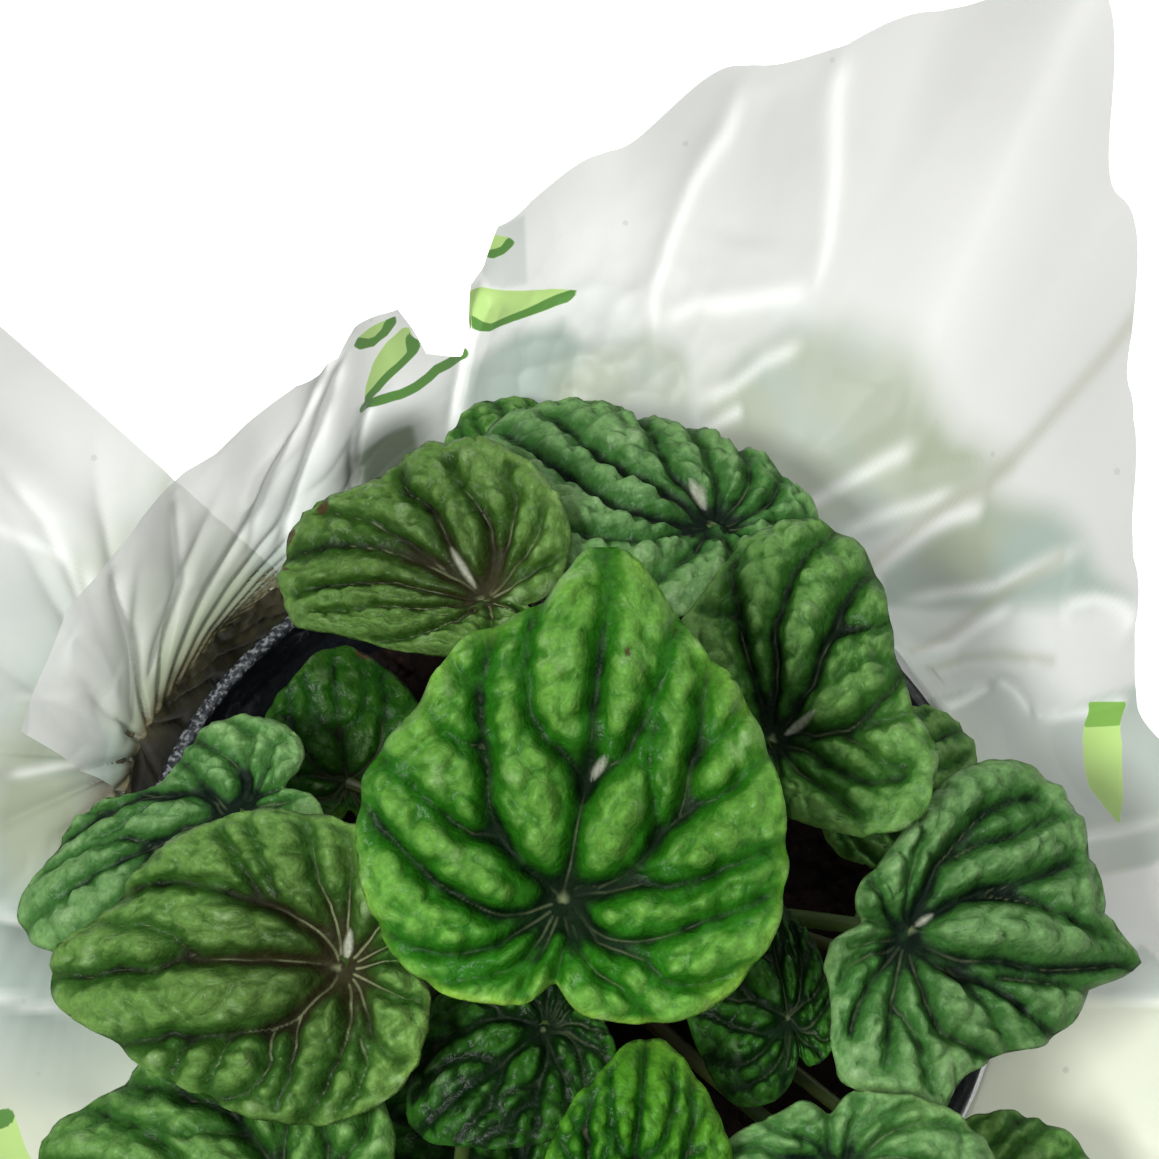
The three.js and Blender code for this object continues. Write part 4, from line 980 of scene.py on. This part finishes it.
# Painted shade and shadow on the film, where it lies double or close to the leaves: the outline,
# how soft its edge is in millimetres and how dark it is, which the gain scales up.
SHADE_GAIN = 1.2
SHADES = [
    ([(436, 0.36), (432.3, 0.52), (428.4, 0.57), (423.4, 0.6), (419.9, 0.58), (413, 0.57),
      (405.6, 0.62), (402.6, 0.67), (405, 0.5), (410, 0.28), (417.5, 0.05), (430, 0.05)], 3.0, 0.75),
    ([(424.5, 0.56), (419.4, 0.55), (413.5, 0.52), (416.4, 0.46), (423.9, 0.47)], 2.5, 1.0),
    ([(412, 0.57), (403.5, 0.63), (410.5, 0.44), (415.5, 0.43)], 2.0, 0.95),
    ([(403.1, 0.6), (399.1, 0.69), (390.7, 0.83), (385.2, 0.9), (394, 0.43), (405, 0.1),
      (408, 0.22)], 2.2, 0.85),
    ([(455.1, 0.61), (450.2, 0.6), (447.7, 0.52), (448.7, 0.3), (452.6, 0.2), (459.6, 0.2),
      (461.6, 0.39), (460.1, 0.52)], 2.2, 1.0),
    ([(451.2, 0.53), (442.2, 0.56), (437.3, 0.5), (434, 0.3), (440, 0.1), (452, 0.1)], 3.0, 0.7),
    ([(457.4, 0.96), (453.6, 0.95), (453.6, 0.74), (457.1, 0.76), (458.2, 0.86)], 0.3, 0.35),
    ([(387.7, 0.4), (381.3, 0.47), (377.5, 1.1), (366, 1.1), (362, 0.6), (362, -0.1), (392, -0.1)],
     0.6, 0.62),
    ([(348.5, 0.1), (354, 0.42), (349.2, 0.5), (347.6, 0.28)], 0.3, 0.6),
    ([(326, -0.05), (331, 0.12), (336, 0.22), (342, 0.1), (342, -0.05)], 2.5, 0.7),
    ([(129, -0.1), (129, 0.4), (150, 0.45), (172, 0.55), (205, 0.6), (216, 0.4), (216, -0.1)], 5.0, 0.4),
    ([(168, 0.3), (166, 1.1), (212, 1.1), (208, 0.3)], 5.0, 0.55),
    ([(462, 0.1), (466, 0.35), (476, 0.5), (487, 0.45), (496, 0.4), (504, 0.3), (507, -0.1),
      (462, -0.1)], 4.0, 0.4),
]


def flare_station(direction):
    """Shoulder, edge and swing of the flare in each direction, eased between the stations."""
    table = np.array(FLARE, float)
    index = np.clip(np.searchsorted(table[:, 0], direction, side="left") - 1, 0, len(table) - 2)
    share = (direction - table[index, 0]) / (table[index + 1, 0] - table[index, 0])
    ease = (share * share * (3 - 2 * share))[:, None]
    return (table[index, 1:] * (1 - ease) + table[index + 1, 1:] * ease).T


def film_line(direction, height):
    """Radius, height and turn of the film: height is -1 at the hem, 0 at the collar, 1 at the edge."""
    shoulder_radius, shoulder_height, edge_radius, edge_height, swing = flare_station(direction)
    around = np.radians(direction)
    off = turn_between(around, math.radians(SLEEVE["stand_off_at"]))
    fade = smooth(SLEEVE["overlap_end"], SLEEVE["overlap_end"] + SLEEVE["overlap_fade"], direction)
    step = SLEEVE["overlap_step"] * (1 - fade)
    stand_off = SLEEVE["stand_off"] * bell(off, math.radians(SLEEVE["stand_off_spread"]))
    collar = SLEEVE["collar_radius"] + SLEEVE["clearance"] + stand_off + step
    stations = SKIRT + [(SLEEVE["collar_height"], 0)]
    place = (1 + np.minimum(height, 0)) * len(SKIRT)
    down_z = np.interp(place, range(len(stations)), [z for z, _ in stations])
    inset = np.interp(place, range(len(stations)), [inset for _, inset in stations])
    fold = SLEEVE["hem_fold"] * np.sin(SLEEVE["hem_folds"] * around) * (1 - down_z / SKIRT[-1][0])
    fold += 0.35 * fold * np.sin(2.3 * SLEEVE["hem_folds"] * around + 0.12 * down_z)
    skirt_radius = collar - inset + np.maximum(fold, -inset)
    up = np.maximum(height, 0)
    a, b, c = (1 - up) ** 2, 2 * up * (1 - up), up ** 2
    radius = a * collar + b * (shoulder_radius + step) + c * (edge_radius + step)
    level = a * SLEEVE["collar_height"] + b * shoulder_height + c * edge_height
    waves = 0.9 * np.sin(9 * around + 0.4) + 0.6 * np.sin(14 * around + 2.1)
    pleat_at = bell(off, math.radians(30))
    waves += 1.0 * np.sin(30 * around) * pleat_at
    push = waves * up * (1.6 - up)
    below = height < 0
    return (np.where(below, skirt_radius, radius + 0.5 * push),
            np.where(below, down_z, level - push),
            around + np.radians(swing) * up)


def film_arc(direction, height):
    """The flare laid out flat, roughly in millimetres."""
    return np.stack([np.radians(direction) * SLEEVE["flat_radius"], height * SLEEVE["flat_height"]], 1)


def flat_run(run):
    """A run of directions and heights as points on the flattened film."""
    return film_arc(*np.array(run, float).T)


def facets(arc, spacing, stretch, seed):
    """Gently hollow facets that meet in crisp creases, longer up the flare than across it."""
    draw = np.random.RandomState(seed)
    flat = arc / (spacing, spacing * stretch)
    low, high = np.floor(flat.min(0)).astype(int) - 1, np.ceil(flat.max(0)).astype(int) + 1
    seeds = np.array([(i, j) for i in range(low[0], high[0] + 1) for j in range(low[1], high[1] + 1)], float)
    seeds += draw.uniform(-0.48, 0.48, seeds.shape)
    nearest = np.full(len(flat), 99.0)
    for seed_place in seeds:
        nearest = np.minimum(nearest, ((flat - seed_place) ** 2).sum(1))
    return nearest - 0.22


def crumple(direction, height):
    """How far the film stands off its smooth line, in millimetres, by creases and crumples."""
    arc = film_arc(direction, height)
    total = np.zeros(len(arc))
    for run, rise, width in CREASES:
        width = max(width, SLEEVE["least_crease_width"])
        distance, along = distance_to_run(arc, flat_run(run))
        ends = smooth(0, 0.15, along) * smooth(1.0, 0.8, along)
        soft = 0.75 * width
        rounded = np.sqrt(distance ** 2 + soft ** 2) - soft
        profile = np.exp(-rounded / width) * smooth(6 * width, 3 * width, distance)
        total += 0.85 * rise * (0.2 + 0.8 * ends) * profile
    total += 1.5 * facets(arc, 30, 1.5, 3)
    total += 0.5 * facets(arc, 13, 1.3, 5)
    crushed = np.exp(-(((arc - film_arc(np.array([445.0]), np.array([0.5]))) / (16, 11)) ** 2).sum(1))
    total += crushed * (1.5 * facets(arc, 6.5, 1.0, 8) + 0.7 * facets(arc, 3.4, 1.0, 9))
    low = smooth(0.25, -0.1, height)
    total += low * 1.1 * facets(arc, 9, 3.0, 10)
    tuck = np.where(direction > 330, 518, 158)
    fan = (direction - tuck) / (np.abs(height) + 0.12)
    pleat = bell(turn_between(np.radians(direction), math.radians(150)), math.radians(26))
    folds = 1 - np.abs(np.sin(0.17 * fan + 0.6 * np.sin(0.05 * fan + 1)))
    total += pleat * smooth(0.75, 0.3, height) * 1.6 * folds ** 2
    return total


def crease_highlights(arc):
    """1 along the sharp lines of the raised creases, where a painted highlight runs, else 0."""
    shown = np.zeros(len(arc))
    for run, rise, _ in CREASES:
        if rise > 0:
            distance, along = distance_to_run(arc, flat_run(run))
            ends = smooth(0, 0.2, along) * smooth(1.0, 0.75, along)
            shown = np.maximum(shown, ends * bell(distance, 0.95))
    return shown


def outline_distance(arc, outline):
    """Signed distance to a closed outline on the flattened film: above 0 inside it."""
    corners = flat_run(outline)
    distance, _ = distance_to_run(arc, np.vstack([corners, corners[:1]]))
    inside = np.zeros(len(arc), bool)
    for (x0, y0), (x1, y1) in zip(corners, np.roll(corners, -1, 0)):
        crosses = (y0 > arc[:, 1]) != (y1 > arc[:, 1])
        inside ^= crosses & (arc[:, 0] < (x1 - x0) * (arc[:, 1] - y0) / (y1 - y0 + 1e-12) + x0)
    return np.where(inside, distance, -distance)


def film_points(direction, height):
    """Places of film points in millimetres: the smooth line, moved out by its crumples."""
    nudge = 0.02
    radius, level, turn = film_line(direction, height)
    low_radius, low_level, _ = film_line(direction, np.maximum(height - nudge, -1))
    high_radius, high_level, _ = film_line(direction, np.minimum(height + nudge, 1))
    run = np.hypot(high_radius - low_radius, high_level - low_level)
    out = np.maximum(crumple(direction, height) * smooth(-0.2, 0.12, np.abs(height)),
                     np.where(height < 0.12, -0.22, -0.6))
    radius = radius + out * (high_level - low_level) / run
    level = level - out * (high_radius - low_radius) / run
    return np.stack([radius * np.cos(turn), radius * np.sin(turn), level], 1)


def column_stations():
    """Directions of the film grid's columns: closer together where the edge is torn and pleated."""
    turns = [turn for turn, _ in FILM_COLUMNS] + [SLEEVE["end"]]
    sums = np.concatenate([[0], np.cumsum(np.diff(turns) * [close for _, close in FILM_COLUMNS])])
    return sums / sums[-1], turns


def along_stretch(name, direction):
    """1 within a stretch of the film and 0 outside it, eased at both ends."""
    sets_in, full, going, gone = STRETCHES[name]
    return smooth(sets_in, full, direction) * smooth(gone, going, direction)


def film_shade(direction, height, arc):
    """How shaded the film looks: near the collar, low on its left side and in its own places."""
    wobble = 0.07 * np.sin(0.11 * direction) + 0.05 * np.sin(0.23 * direction + 1)
    left = smooth(430, 470, direction) + smooth(215, 190, direction)
    shade = 0.45 * smooth(0.74, 0.36, height + wobble)
    shade = shade + (0.12 + 0.4 * left) * smooth(0.4, 0.1, height)
    shade = shade + 0.4 * smooth(215, 200, direction) * smooth(0.6, 0.25, height)
    shade = shade * smooth(-0.12, 0.02, height)
    for outline, soft, amount in SHADES:
        place = smooth(-soft, soft, outline_distance(arc, outline))
        shade = np.maximum(shade, min(SHADE_GAIN * amount, 1) * place)
    return shade


def print_masks(arc):
    """How far inside the printed corners and inside their darker borders each point lies."""
    light = np.full(len(arc), -9.0)
    deep = np.full(len(arc), -9.0)
    for outline, border, width, filled in PRINTS:
        inside = outline_distance(arc, outline)
        distance, _ = distance_to_run(arc, flat_run(border))
        light = np.maximum(light, inside if filled else -9.0)
        deep = np.maximum(deep, np.minimum(inside, width - distance) if filled else width - distance)
    return light, deep


def film_masks(direction, height):
    """The masks of the film by name: shares from 0 to 1, and the prints' in millimetres."""
    arc = film_arc(direction, height)
    folds = [distance_to_run(arc, flat_run(run))[0] for run in FOLDS]
    flared = smooth(-0.02, 0.01, height)
    inner = smooth(-0.95, -0.7, height)
    gap = bell(turn_between(np.radians(direction), math.radians(SLEEVE["gap_at"])),
               math.radians(SLEEVE["gap_spread"]))
    near_gap = smooth(0.25, 0.6, gap)
    light, deep = print_masks(arc)
    return {
        "shaded": film_shade(direction, height, arc),
        # How much painted glow the back-left flap gives off.
        "flap": smooth(484, 505, direction) * smooth(0.05, 0.3, height),
        "cream": along_stretch("cream", direction) * smooth(-0.03, 0.02, height),
        # Where the film gets a stronger painted glow.
        "glow": along_stretch("glow", direction) * smooth(0.5, 0.1, height),
        # Painted shade: the upper part of the flare is painted darker, except on the back left.
        "far": smooth(0.45, 0.95, height) * smooth(448, 438, direction),
        # Painted highlight along the raised creases.
        "crease_highlight": crease_highlights(arc),
        # Painted shade along the sharp folds.
        "fold_shade": bell(np.min(folds, 0), 1.0),
        # Painted shadow: a dark patch low on the back left.
        "shadow_patch": along_stretch("shadow_patch", direction) * smooth(0.52, 0.38, height) * flared,
        # Painted shade in the gap between the film and the pot rim, on the film's inner side.
        "gap": smooth(0.1, 0.03, height) * near_gap * inner,
        "gap_shade_fade": 0.5 * smooth(0.22, 0.05, height) * near_gap * inner,
        "skirt": smooth(-0.1, -0.25, height),
        "print_light": light,
        "print_deep": deep,
        "print_pale": along_stretch("print_pale", direction),
    }


def build_sleeve():
    """The film: a grid laid along its line, from hem to cut edge, with its creases and masks."""
    columns, rows = ((760, 124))
    bm = bmesh.new()
    bmesh.ops.create_grid(bm, x_segments=columns, y_segments=rows, size=1)
    flat = places(bm)
    direction = np.interp((flat[:, 0] + 1) / 2, *column_stations())
    rise = (flat[:, 1] + 1) / 2
    edge = np.interp(direction, *np.array(EDGE, float).T)
    skirt = SLEEVE["skirt_share"]
    height = np.where(rise < skirt, rise / skirt - 1, (rise - skirt) / (1 - skirt) * edge)
    move_to(bm, film_points(direction, height))
    for name, values in film_masks(direction, height).items():
        store(bm, name, values)
    bmesh.ops.reverse_faces(bm, faces=bm.faces)
    bmesh.ops.scale(bm, vec=(MM, MM, MM), verts=bm.verts)
    piece = new_piece("film_sleeve", bm, [make_film_material()])
    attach(piece, "root")
    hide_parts("sleeve")


def make_film_material():
    hue = {name: tone(code) for name, code in FILM_TONES.items()}
    material, n, shader = new_material("clear_film", roughness=0.42, specular_ior_level=0.2)
    own = n.own_places()
    cloud = n.noise(own, 22, 3)
    grain = n.noise(own, 600, 3)
    scratch = n.noise(n.stretched(own, 0.3), 190, 4)
    facing = n.add("ShaderNodeLayerWeight", {"Blend": 0.35}).outputs["Facing"]
    # Painted shade on the film, mixed towards the grey-green and beige shade tones.
    shaded = n.maths("MULTIPLY", n.attribute("shaded"), n.between(cloud, 0.3, 0.7, 0.9, 1.0))
    beige = n.mix(n.between(n.noise(own, 45, 2), 0.42, 0.6), hue["shade"], hue["warm_shade"])
    # The upper flare's painted shade darkens the clear film there.
    colour = n.mix(n.attribute("far"), hue["clear"], hue["clear_far_shade"])
    colour = n.mix(shaded, colour, beige)
    # Painted highlight: the raised creases are painted near white.
    colour = n.mix(n.maths("MULTIPLY", n.attribute("crease_highlight"), 0.45), colour, hue["crease_highlight"])
    # Painted shade: a thin dark line along each sharp fold.
    colour = n.mix(n.maths("MULTIPLY", n.attribute("fold_shade"), 0.55), colour, hue["fold"])
    # Painted shadow: the dark patch on the back left.
    colour = n.mix(n.attribute("shadow_patch"), colour, hue["shadow_patch"])
    colour = n.mix(n.maths("MULTIPLY", n.attribute("cream"), 0.8), colour, hue["cream"])
    printed = n.between(n.attribute("print_light"), -0.08, 0.08)
    deep = n.between(n.attribute("print_deep"), -0.08, 0.08)
    deep_tone = n.mix(n.attribute("print_pale"), hue["print_border"], hue["pale_border"])
    colour = n.mix(printed, colour, hue["print"])
    colour = n.mix(deep, colour, deep_tone)
    # Painted shade on the inner side of the film, in the gap beside the pot rim, fading up the flare and
    # streaked lighter.
    behind = n.add("ShaderNodeNewGeometry").outputs["Backfacing"]
    inside = n.maths("SUBTRACT", 1.0, behind)
    gap = n.maths("MULTIPLY", n.attribute("gap"), inside)
    haze = n.maths("MULTIPLY", n.attribute("gap_shade_fade"), inside)
    colour = n.mix(haze, colour, hue["gap_shade_fade"])
    brown = n.mix(n.between(scratch, 0.35, 0.65), hue["gap"], hue["gap_streak"])
    colour = n.mix(gap, colour, brown)
    fleck = n.between(n.cells(own, 95, "F1"), 0.03, 0.05, 0.4, 0.0)
    colour = n.mix(fleck, colour, hue["fleck"])
    alpha = n.maths("ADD", n.between(facing, 0.0, 1.0, 0.84, 0.98), n.between(cloud, 0.3, 0.7, -0.04, 0.04))
    alpha = n.maths("ADD", alpha, n.maths("MULTIPLY", shaded, 0.08))
    solid = n.maths("MAXIMUM", n.maths("MAXIMUM", printed, deep), gap)
    # The painted shadow patch is made nearly opaque.
    solid = n.maths("MAXIMUM", solid, n.attribute("shadow_patch"))
    alpha = n.maths("MAXIMUM", alpha, n.maths("MULTIPLY", solid, 0.96), clamp=True)
    clear = n.maths("MULTIPLY", n.between(facing, 0.1, 0.9, 0.62, 0.25), n.between(gap, 0, 1, 1, 0))
    alpha = n.maths("SUBTRACT", alpha, n.maths("MULTIPLY", clear, n.attribute("skirt")), clamp=True)
    # Painted glow: the film gives off a faint light of its own colour, most on the back-left flap and in the
    # glow stretch, least on the skirt, to lift its shade.
    glow = n.maths("ADD", n.between(n.attribute("flap"), 0.0, 1.0, 0.45, 0.6),
                   n.maths("MULTIPLY", n.attribute("glow"), 0.45), clamp=True)
    glow = n.maths("MULTIPLY", glow, n.between(n.attribute("skirt"), 0.0, 1.0, 1.0, 0.25))
    painted_glow = n.mix(glow, (0, 0, 0, 1), colour)
    join(n, shader, base_color=colour, alpha=alpha, emission_color=painted_glow)
    shader.inputs["Emission Strength"].default_value = 0.4
    height = n.maths("ADD", scratch, n.maths("MULTIPLY", grain, 0.15))
    bump(n, shader, height, 0.15, 0.0006)
    return material


# ------------------------------------------------------------------ pot, soil and crown

# The pot's wall, from the foot up the outside, over the lip and down the inside: radius and height.
POT_PROFILE = [
    (34.2, 0), (35.2, 0.25), (35.8, 0.8), (36.2, 1.8), (46.9, 77.4), (47.2, 78.2), (49.2, 79.6),
    (49.8, 80.2), (50, 81), (50, 87.2), (49.8, 87.75), (49.3, 88), (48.6, 88), (48.2, 87.85), (48.1, 87.4),
    (48.1, 81.4), (47.6, 80.6), (46.2, 78.4), (45.9, 77.6), (35.1, 2.2), (34.7, 1.5), (34.2, 1.4),
]
FLOOR = {"radius": 34.2, "thickness": 1.4, "holes": 6, "hole_radius": 3, "circle": 26}

# Between these heights, in metres, the pot's lip carries a speckled painted highlight.
LIP_HEIGHTS = (0.0868, 0.0878)

# The soil's radius and level, how far it rises and falls, and the crumbs that lie on it.
BED = {"radius": 44.9, "level": 76, "rise": 1.7, "crumbs": 240, "crumb_reach": 43}


def spun(name, profile, materials, steps, more=None):
    """A round piece: its profile spun once round the pot's axis, with the poles closed."""
    bm = bmesh.new()
    line = [bm.verts.new((radius, 0, level)) for radius, level in profile]
    edges = [bm.edges.new(pair) for pair in zip(line, line[1:])]
    bmesh.ops.spin(bm, geom=line + edges, cent=(0, 0, 0), axis=(0, 0, 1), angle=2 * math.pi,
                   steps=steps, use_merge=True)
    if more:
        more(bm, steps)
    bmesh.ops.remove_doubles(bm, verts=bm.verts, dist=1e-4)
    bmesh.ops.recalc_face_normals(bm, faces=bm.faces)
    bmesh.ops.scale(bm, vec=(MM, MM, MM), verts=bm.verts)
    piece = new_piece(name, bm, materials)
    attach(piece, "root")
    return piece


def make_pot_material():
    material, n, shader = new_material("pot_plastic", specular_ior_level=0.5)
    own = n.own_places()
    grain = n.noise(own, 900, 4)
    dust = n.between(n.noise(own, 160, 4), 0.5, 0.78)
    across, _, high = n.add("ShaderNodeSeparateXYZ", {0: own}).outputs
    lip = n.between(high, *LIP_HEIGHTS)
    scuff = n.between(n.cells(own, 420), 0.0, 0.09, 1.0, 0.0)
    # Painted highlight: silvery specks along the lip, strong on the left side and faint elsewhere; the
    # scuffs are the pot's own.
    lip_glint = n.maths("MULTIPLY", lip, n.between(n.noise(own, 1500, 4), 0.46, 0.66))
    lip_glint = n.maths("MULTIPLY", lip_glint, n.between(across, -0.02, 0.0, 1.0, 0.1))
    scuff = n.maths("MULTIPLY", n.maths("MULTIPLY", scuff, dust), 0.4)
    scuffs_and_glint = n.maths("MAXIMUM", scuff, n.maths("MULTIPLY", lip_glint, 0.6))
    colour = n.mix(grain, tone("#0f1216"), tone("#1b2026"))
    colour = n.mix(n.maths("MULTIPLY", dust, 0.3), colour, tone("#464b50"))
    colour = n.mix(n.maths("MULTIPLY", scuffs_and_glint, 0.8), colour, tone("#a4a9ac"))
    join(n, shader, base_color=colour, roughness=n.between(grain, 0.3, 0.7, 0.3, 0.5))
    bump(n, shader, n.maths("ADD", grain, lip_glint), 0.3, 0.0003)
    return material


def pot_floor(bm, steps):
    """The drilled floor: two discs with their holes filled round, and the walls of the holes."""
    edges = {}
    for level in (0, FLOOR["thickness"]):
        rings = [(0, 0, FLOOR["radius"], steps)]
        for i in range(FLOOR["holes"]):
            turn = (i + 0.5) * 2 * math.pi / FLOOR["holes"]
            rings.append((FLOOR["circle"] * math.cos(turn), FLOOR["circle"] * math.sin(turn),
                          FLOOR["hole_radius"], 24))
        made = []
        for x, y, radius, segments in rings:
            verts = bmesh.ops.create_circle(bm, segments=segments, radius=radius,
                                            matrix=Matrix.Translation((x, y, level)))["verts"]
            made.append(list({edge for vertex in verts for edge in vertex.link_edges}))
        bmesh.ops.triangle_fill(bm, use_beauty=True, edges=[edge for ring in made for edge in ring])
        edges[level] = made[1:]
    for low, high in zip(*edges.values()):
        bmesh.ops.bridge_loops(bm, edges=low + high)


def build_pot():
    steps = 144
    pot = spun("moulded_pot", POT_PROFILE, [make_pot_material()], steps, pot_floor)
    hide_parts("pot")


def make_soil_material():
    material, n, shader = new_material("potting_mix", roughness=0.95, specular_ior_level=0.2)
    own = n.own_places()
    lumps = n.noise(own, 260, 5, 0.65)
    bits = n.cells(own, 520, "F1")
    colour = n.mix(lumps, tone("#060302"), tone("#1a0e09"))
    colour = n.mix(n.between(bits, 0.0, 0.35, 0.5, 0.0), colour, tone("#341c12"))
    join(n, shader, base_color=colour)
    bump(n, shader, n.maths("ADD", lumps, bits), 0.8, 0.0015)
    return material


def build_soil():
    """An uneven bed of potting mix with crumbs and bark chips lying on it."""
    material = make_soil_material()
    bm = polar_disc([(i + 1) / 40 for i in range(40)], 120)
    flat = places(bm)
    radius = np.hypot(flat[:, 0], flat[:, 1])
    lumps = np.array([noise.fractal(Vector((x * 9, y * 9, 3.0)), 0.9, 2.1, 4) for x, y, _ in flat])
    level = BED["level"] + BED["rise"] * lumps * smooth(1.0, 0.9, radius)
    move_to(bm, np.stack([flat[:, 0] * BED["radius"], flat[:, 1] * BED["radius"], level], 1))
    rim = [edge for edge in bm.edges if edge.is_boundary]
    for depth, width in ((-30, 0.92), (-44, 0.8)):
        made = bmesh.ops.extrude_edge_only(bm, edges=rim)["geom"]
        verts = [item for item in made if isinstance(item, bmesh.types.BMVert)]
        rim = [item for item in made if isinstance(item, bmesh.types.BMEdge) and item.is_boundary]
        bmesh.ops.scale(bm, vec=(width, width, 1), verts=verts)
        bmesh.ops.translate(bm, vec=(0, 0, depth), verts=verts)
    bmesh.ops.contextual_create(bm, geom=rim)
    draw = np.random.RandomState(11)
    for _ in range(BED["crumbs"]):
        turn = draw.uniform(0, 2 * math.pi)
        away = BED["crumb_reach"] * math.sqrt(draw.uniform(0.02, 1))
        size = draw.uniform(0.5, 1.6)
        spot = Matrix.Translation((away * math.cos(turn), away * math.sin(turn), 76.2 + 0.3 * size))
        tilt = Matrix.Rotation(draw.uniform(0, 6), 4, Vector(draw.uniform(-1, 1, 3)))
        flatten = Matrix.Diagonal((size, size * draw.uniform(0.5, 1), size * draw.uniform(0.3, 0.8), 1))
        bmesh.ops.create_icosphere(bm, subdivisions=1, radius=1, matrix=spot @ tilt @ flatten)
    bmesh.ops.recalc_face_normals(bm, faces=bm.faces)
    bmesh.ops.scale(bm, vec=(MM, MM, MM), verts=bm.verts)
    piece = new_piece("potting_bed", bm, [material])
    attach(piece, "root")
    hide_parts("soil")


def make_crown_material():
    material, n, shader = new_material("rootstock", roughness=0.55, specular_ior_level=0.4)
    own = n.own_places()
    rings = n.noise(n.stretched(own, 4), 300, 4)
    scars = n.between(n.cells(own, 330), 0.0, 0.12, 1.0, 0.0)
    colour = n.mix(rings, tone("#4f5f2c"), tone("#7d8a4c"))
    colour = n.mix(n.maths("MULTIPLY", scars, 0.6), colour, tone("#6a4634"))
    join(n, shader, base_color=colour)
    bump(n, shader, n.maths("SUBTRACT", rings, scars), 0.6, 0.0006)
    return material


def build_crown():
    """A short dome of rootstock, spun from a quarter of an arch."""
    steps = 20
    profile = [(0, CROWN["foot"])]
    for i in range(steps):
        turn = i / steps * math.pi / 2
        profile.append((CROWN["radius"] * math.cos(turn),
                        CROWN["foot"] + (CROWN["top"] - CROWN["foot"]) * math.sin(turn)))
    profile.append((0, CROWN["top"]))
    crown = spun("rootstock_crown", profile, [make_crown_material()], 48)
    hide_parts("crown")


# ------------------------------------------------------------------ floor, light and camera

LAMP_AIM = Vector((0, 0, 0.1))

# Each lamp's place, size and power.
LAMPS = {
    "key": ((-0.5, -0.42, 0.95), (0.36, 0.28), 11.0),
    "overhead": ((0.1, 0.0, 1.4), (1.2, 1.2), 5.0),
    "window": ((0.4, 0.75, 0.75), (0.5, 0.4), 2.4),
}
CAMERA = {"lens": 94.3, "sensor": 36, "place": (0.001648, -0.129309, 0.409982), "lean": 28}


def build_floor():
    """A plain pale floor, just under the pot's foot."""
    bm = bmesh.new()
    bmesh.ops.create_grid(bm, x_segments=2, y_segments=2, size=3)
    bmesh.ops.translate(bm, vec=(0, 0, -0.0002), verts=bm.verts)
    material, n, shader = new_material("pale_floor", roughness=0.7, specular_ior_level=0.2)
    own = n.own_places()
    join(n, shader, base_color=n.mix(n.noise(own, 6, 2), tone("#f4f4f2"), tone("#f8f8f6")))
    shader.inputs["Emission Color"].default_value = (1, 1, 1, 1)
    shader.inputs["Emission Strength"].default_value = 0.6
    floor = new_piece("studio_floor", bm, [material])


def soft_light(name, place, size, power):
    lamp = bpy.data.lights.new(name, "AREA")
    lamp.shape = "RECTANGLE"
    lamp.size, lamp.size_y = size
    lamp.energy = power
    holder = bpy.data.objects.new(name, lamp)
    holder.location = place
    holder.rotation_euler = (LAMP_AIM - Vector(place)).to_track_quat("-Z", "Y").to_euler()
    bpy.context.scene.collection.objects.link(holder)


def build_light():
    """White behind everything that the camera sees, dimmer air for the rest, and three lamps."""
    world = bpy.data.worlds.new("studio_air")
    world.use_nodes = True
    air = Nodes(world.node_tree)
    seen = air.add("ShaderNodeBackground", {"Color": (1, 1, 1, 1), "Strength": 1.0}).outputs[0]
    direct = air.add("ShaderNodeLightPath").outputs["Is Camera Ray"]
    dim = world.node_tree.nodes["Background"].outputs[0]
    both = air.add("ShaderNodeMixShader", {0: direct, 1: dim, 2: seen}).outputs[0]
    world.node_tree.links.new(both, world.node_tree.nodes["World Output"].inputs["Surface"])
    world.node_tree.nodes["Background"].inputs["Color"].default_value = (0.98, 1.0, 0.99, 1)
    world.node_tree.nodes["Background"].inputs["Strength"].default_value = 0.2
    bpy.context.scene.world = world
    for name, (place, size, power) in LAMPS.items():
        soft_light(name, place, size, power)


def build_camera():
    """Looks down on the pot from the front at 62 degrees, with the rim's middle low in the frame."""
    lens = bpy.data.cameras.new("camera")
    lens.lens = CAMERA["lens"]
    lens.sensor_width = CAMERA["sensor"]
    lens.clip_start = 0.01
    lens.clip_end = 20
    camera = bpy.data.objects.new("camera", lens)
    camera.location = CAMERA["place"]
    camera.rotation_euler = (math.radians(CAMERA["lean"]), 0, 0)
    bpy.context.scene.collection.objects.link(camera)
    bpy.context.scene.camera = camera


build_pot()
build_soil()
build_crown()
build_leaves()
build_sleeve()
build_floor()
build_light()
build_camera()
bpy.context.scene.view_settings.view_transform = "Standard"
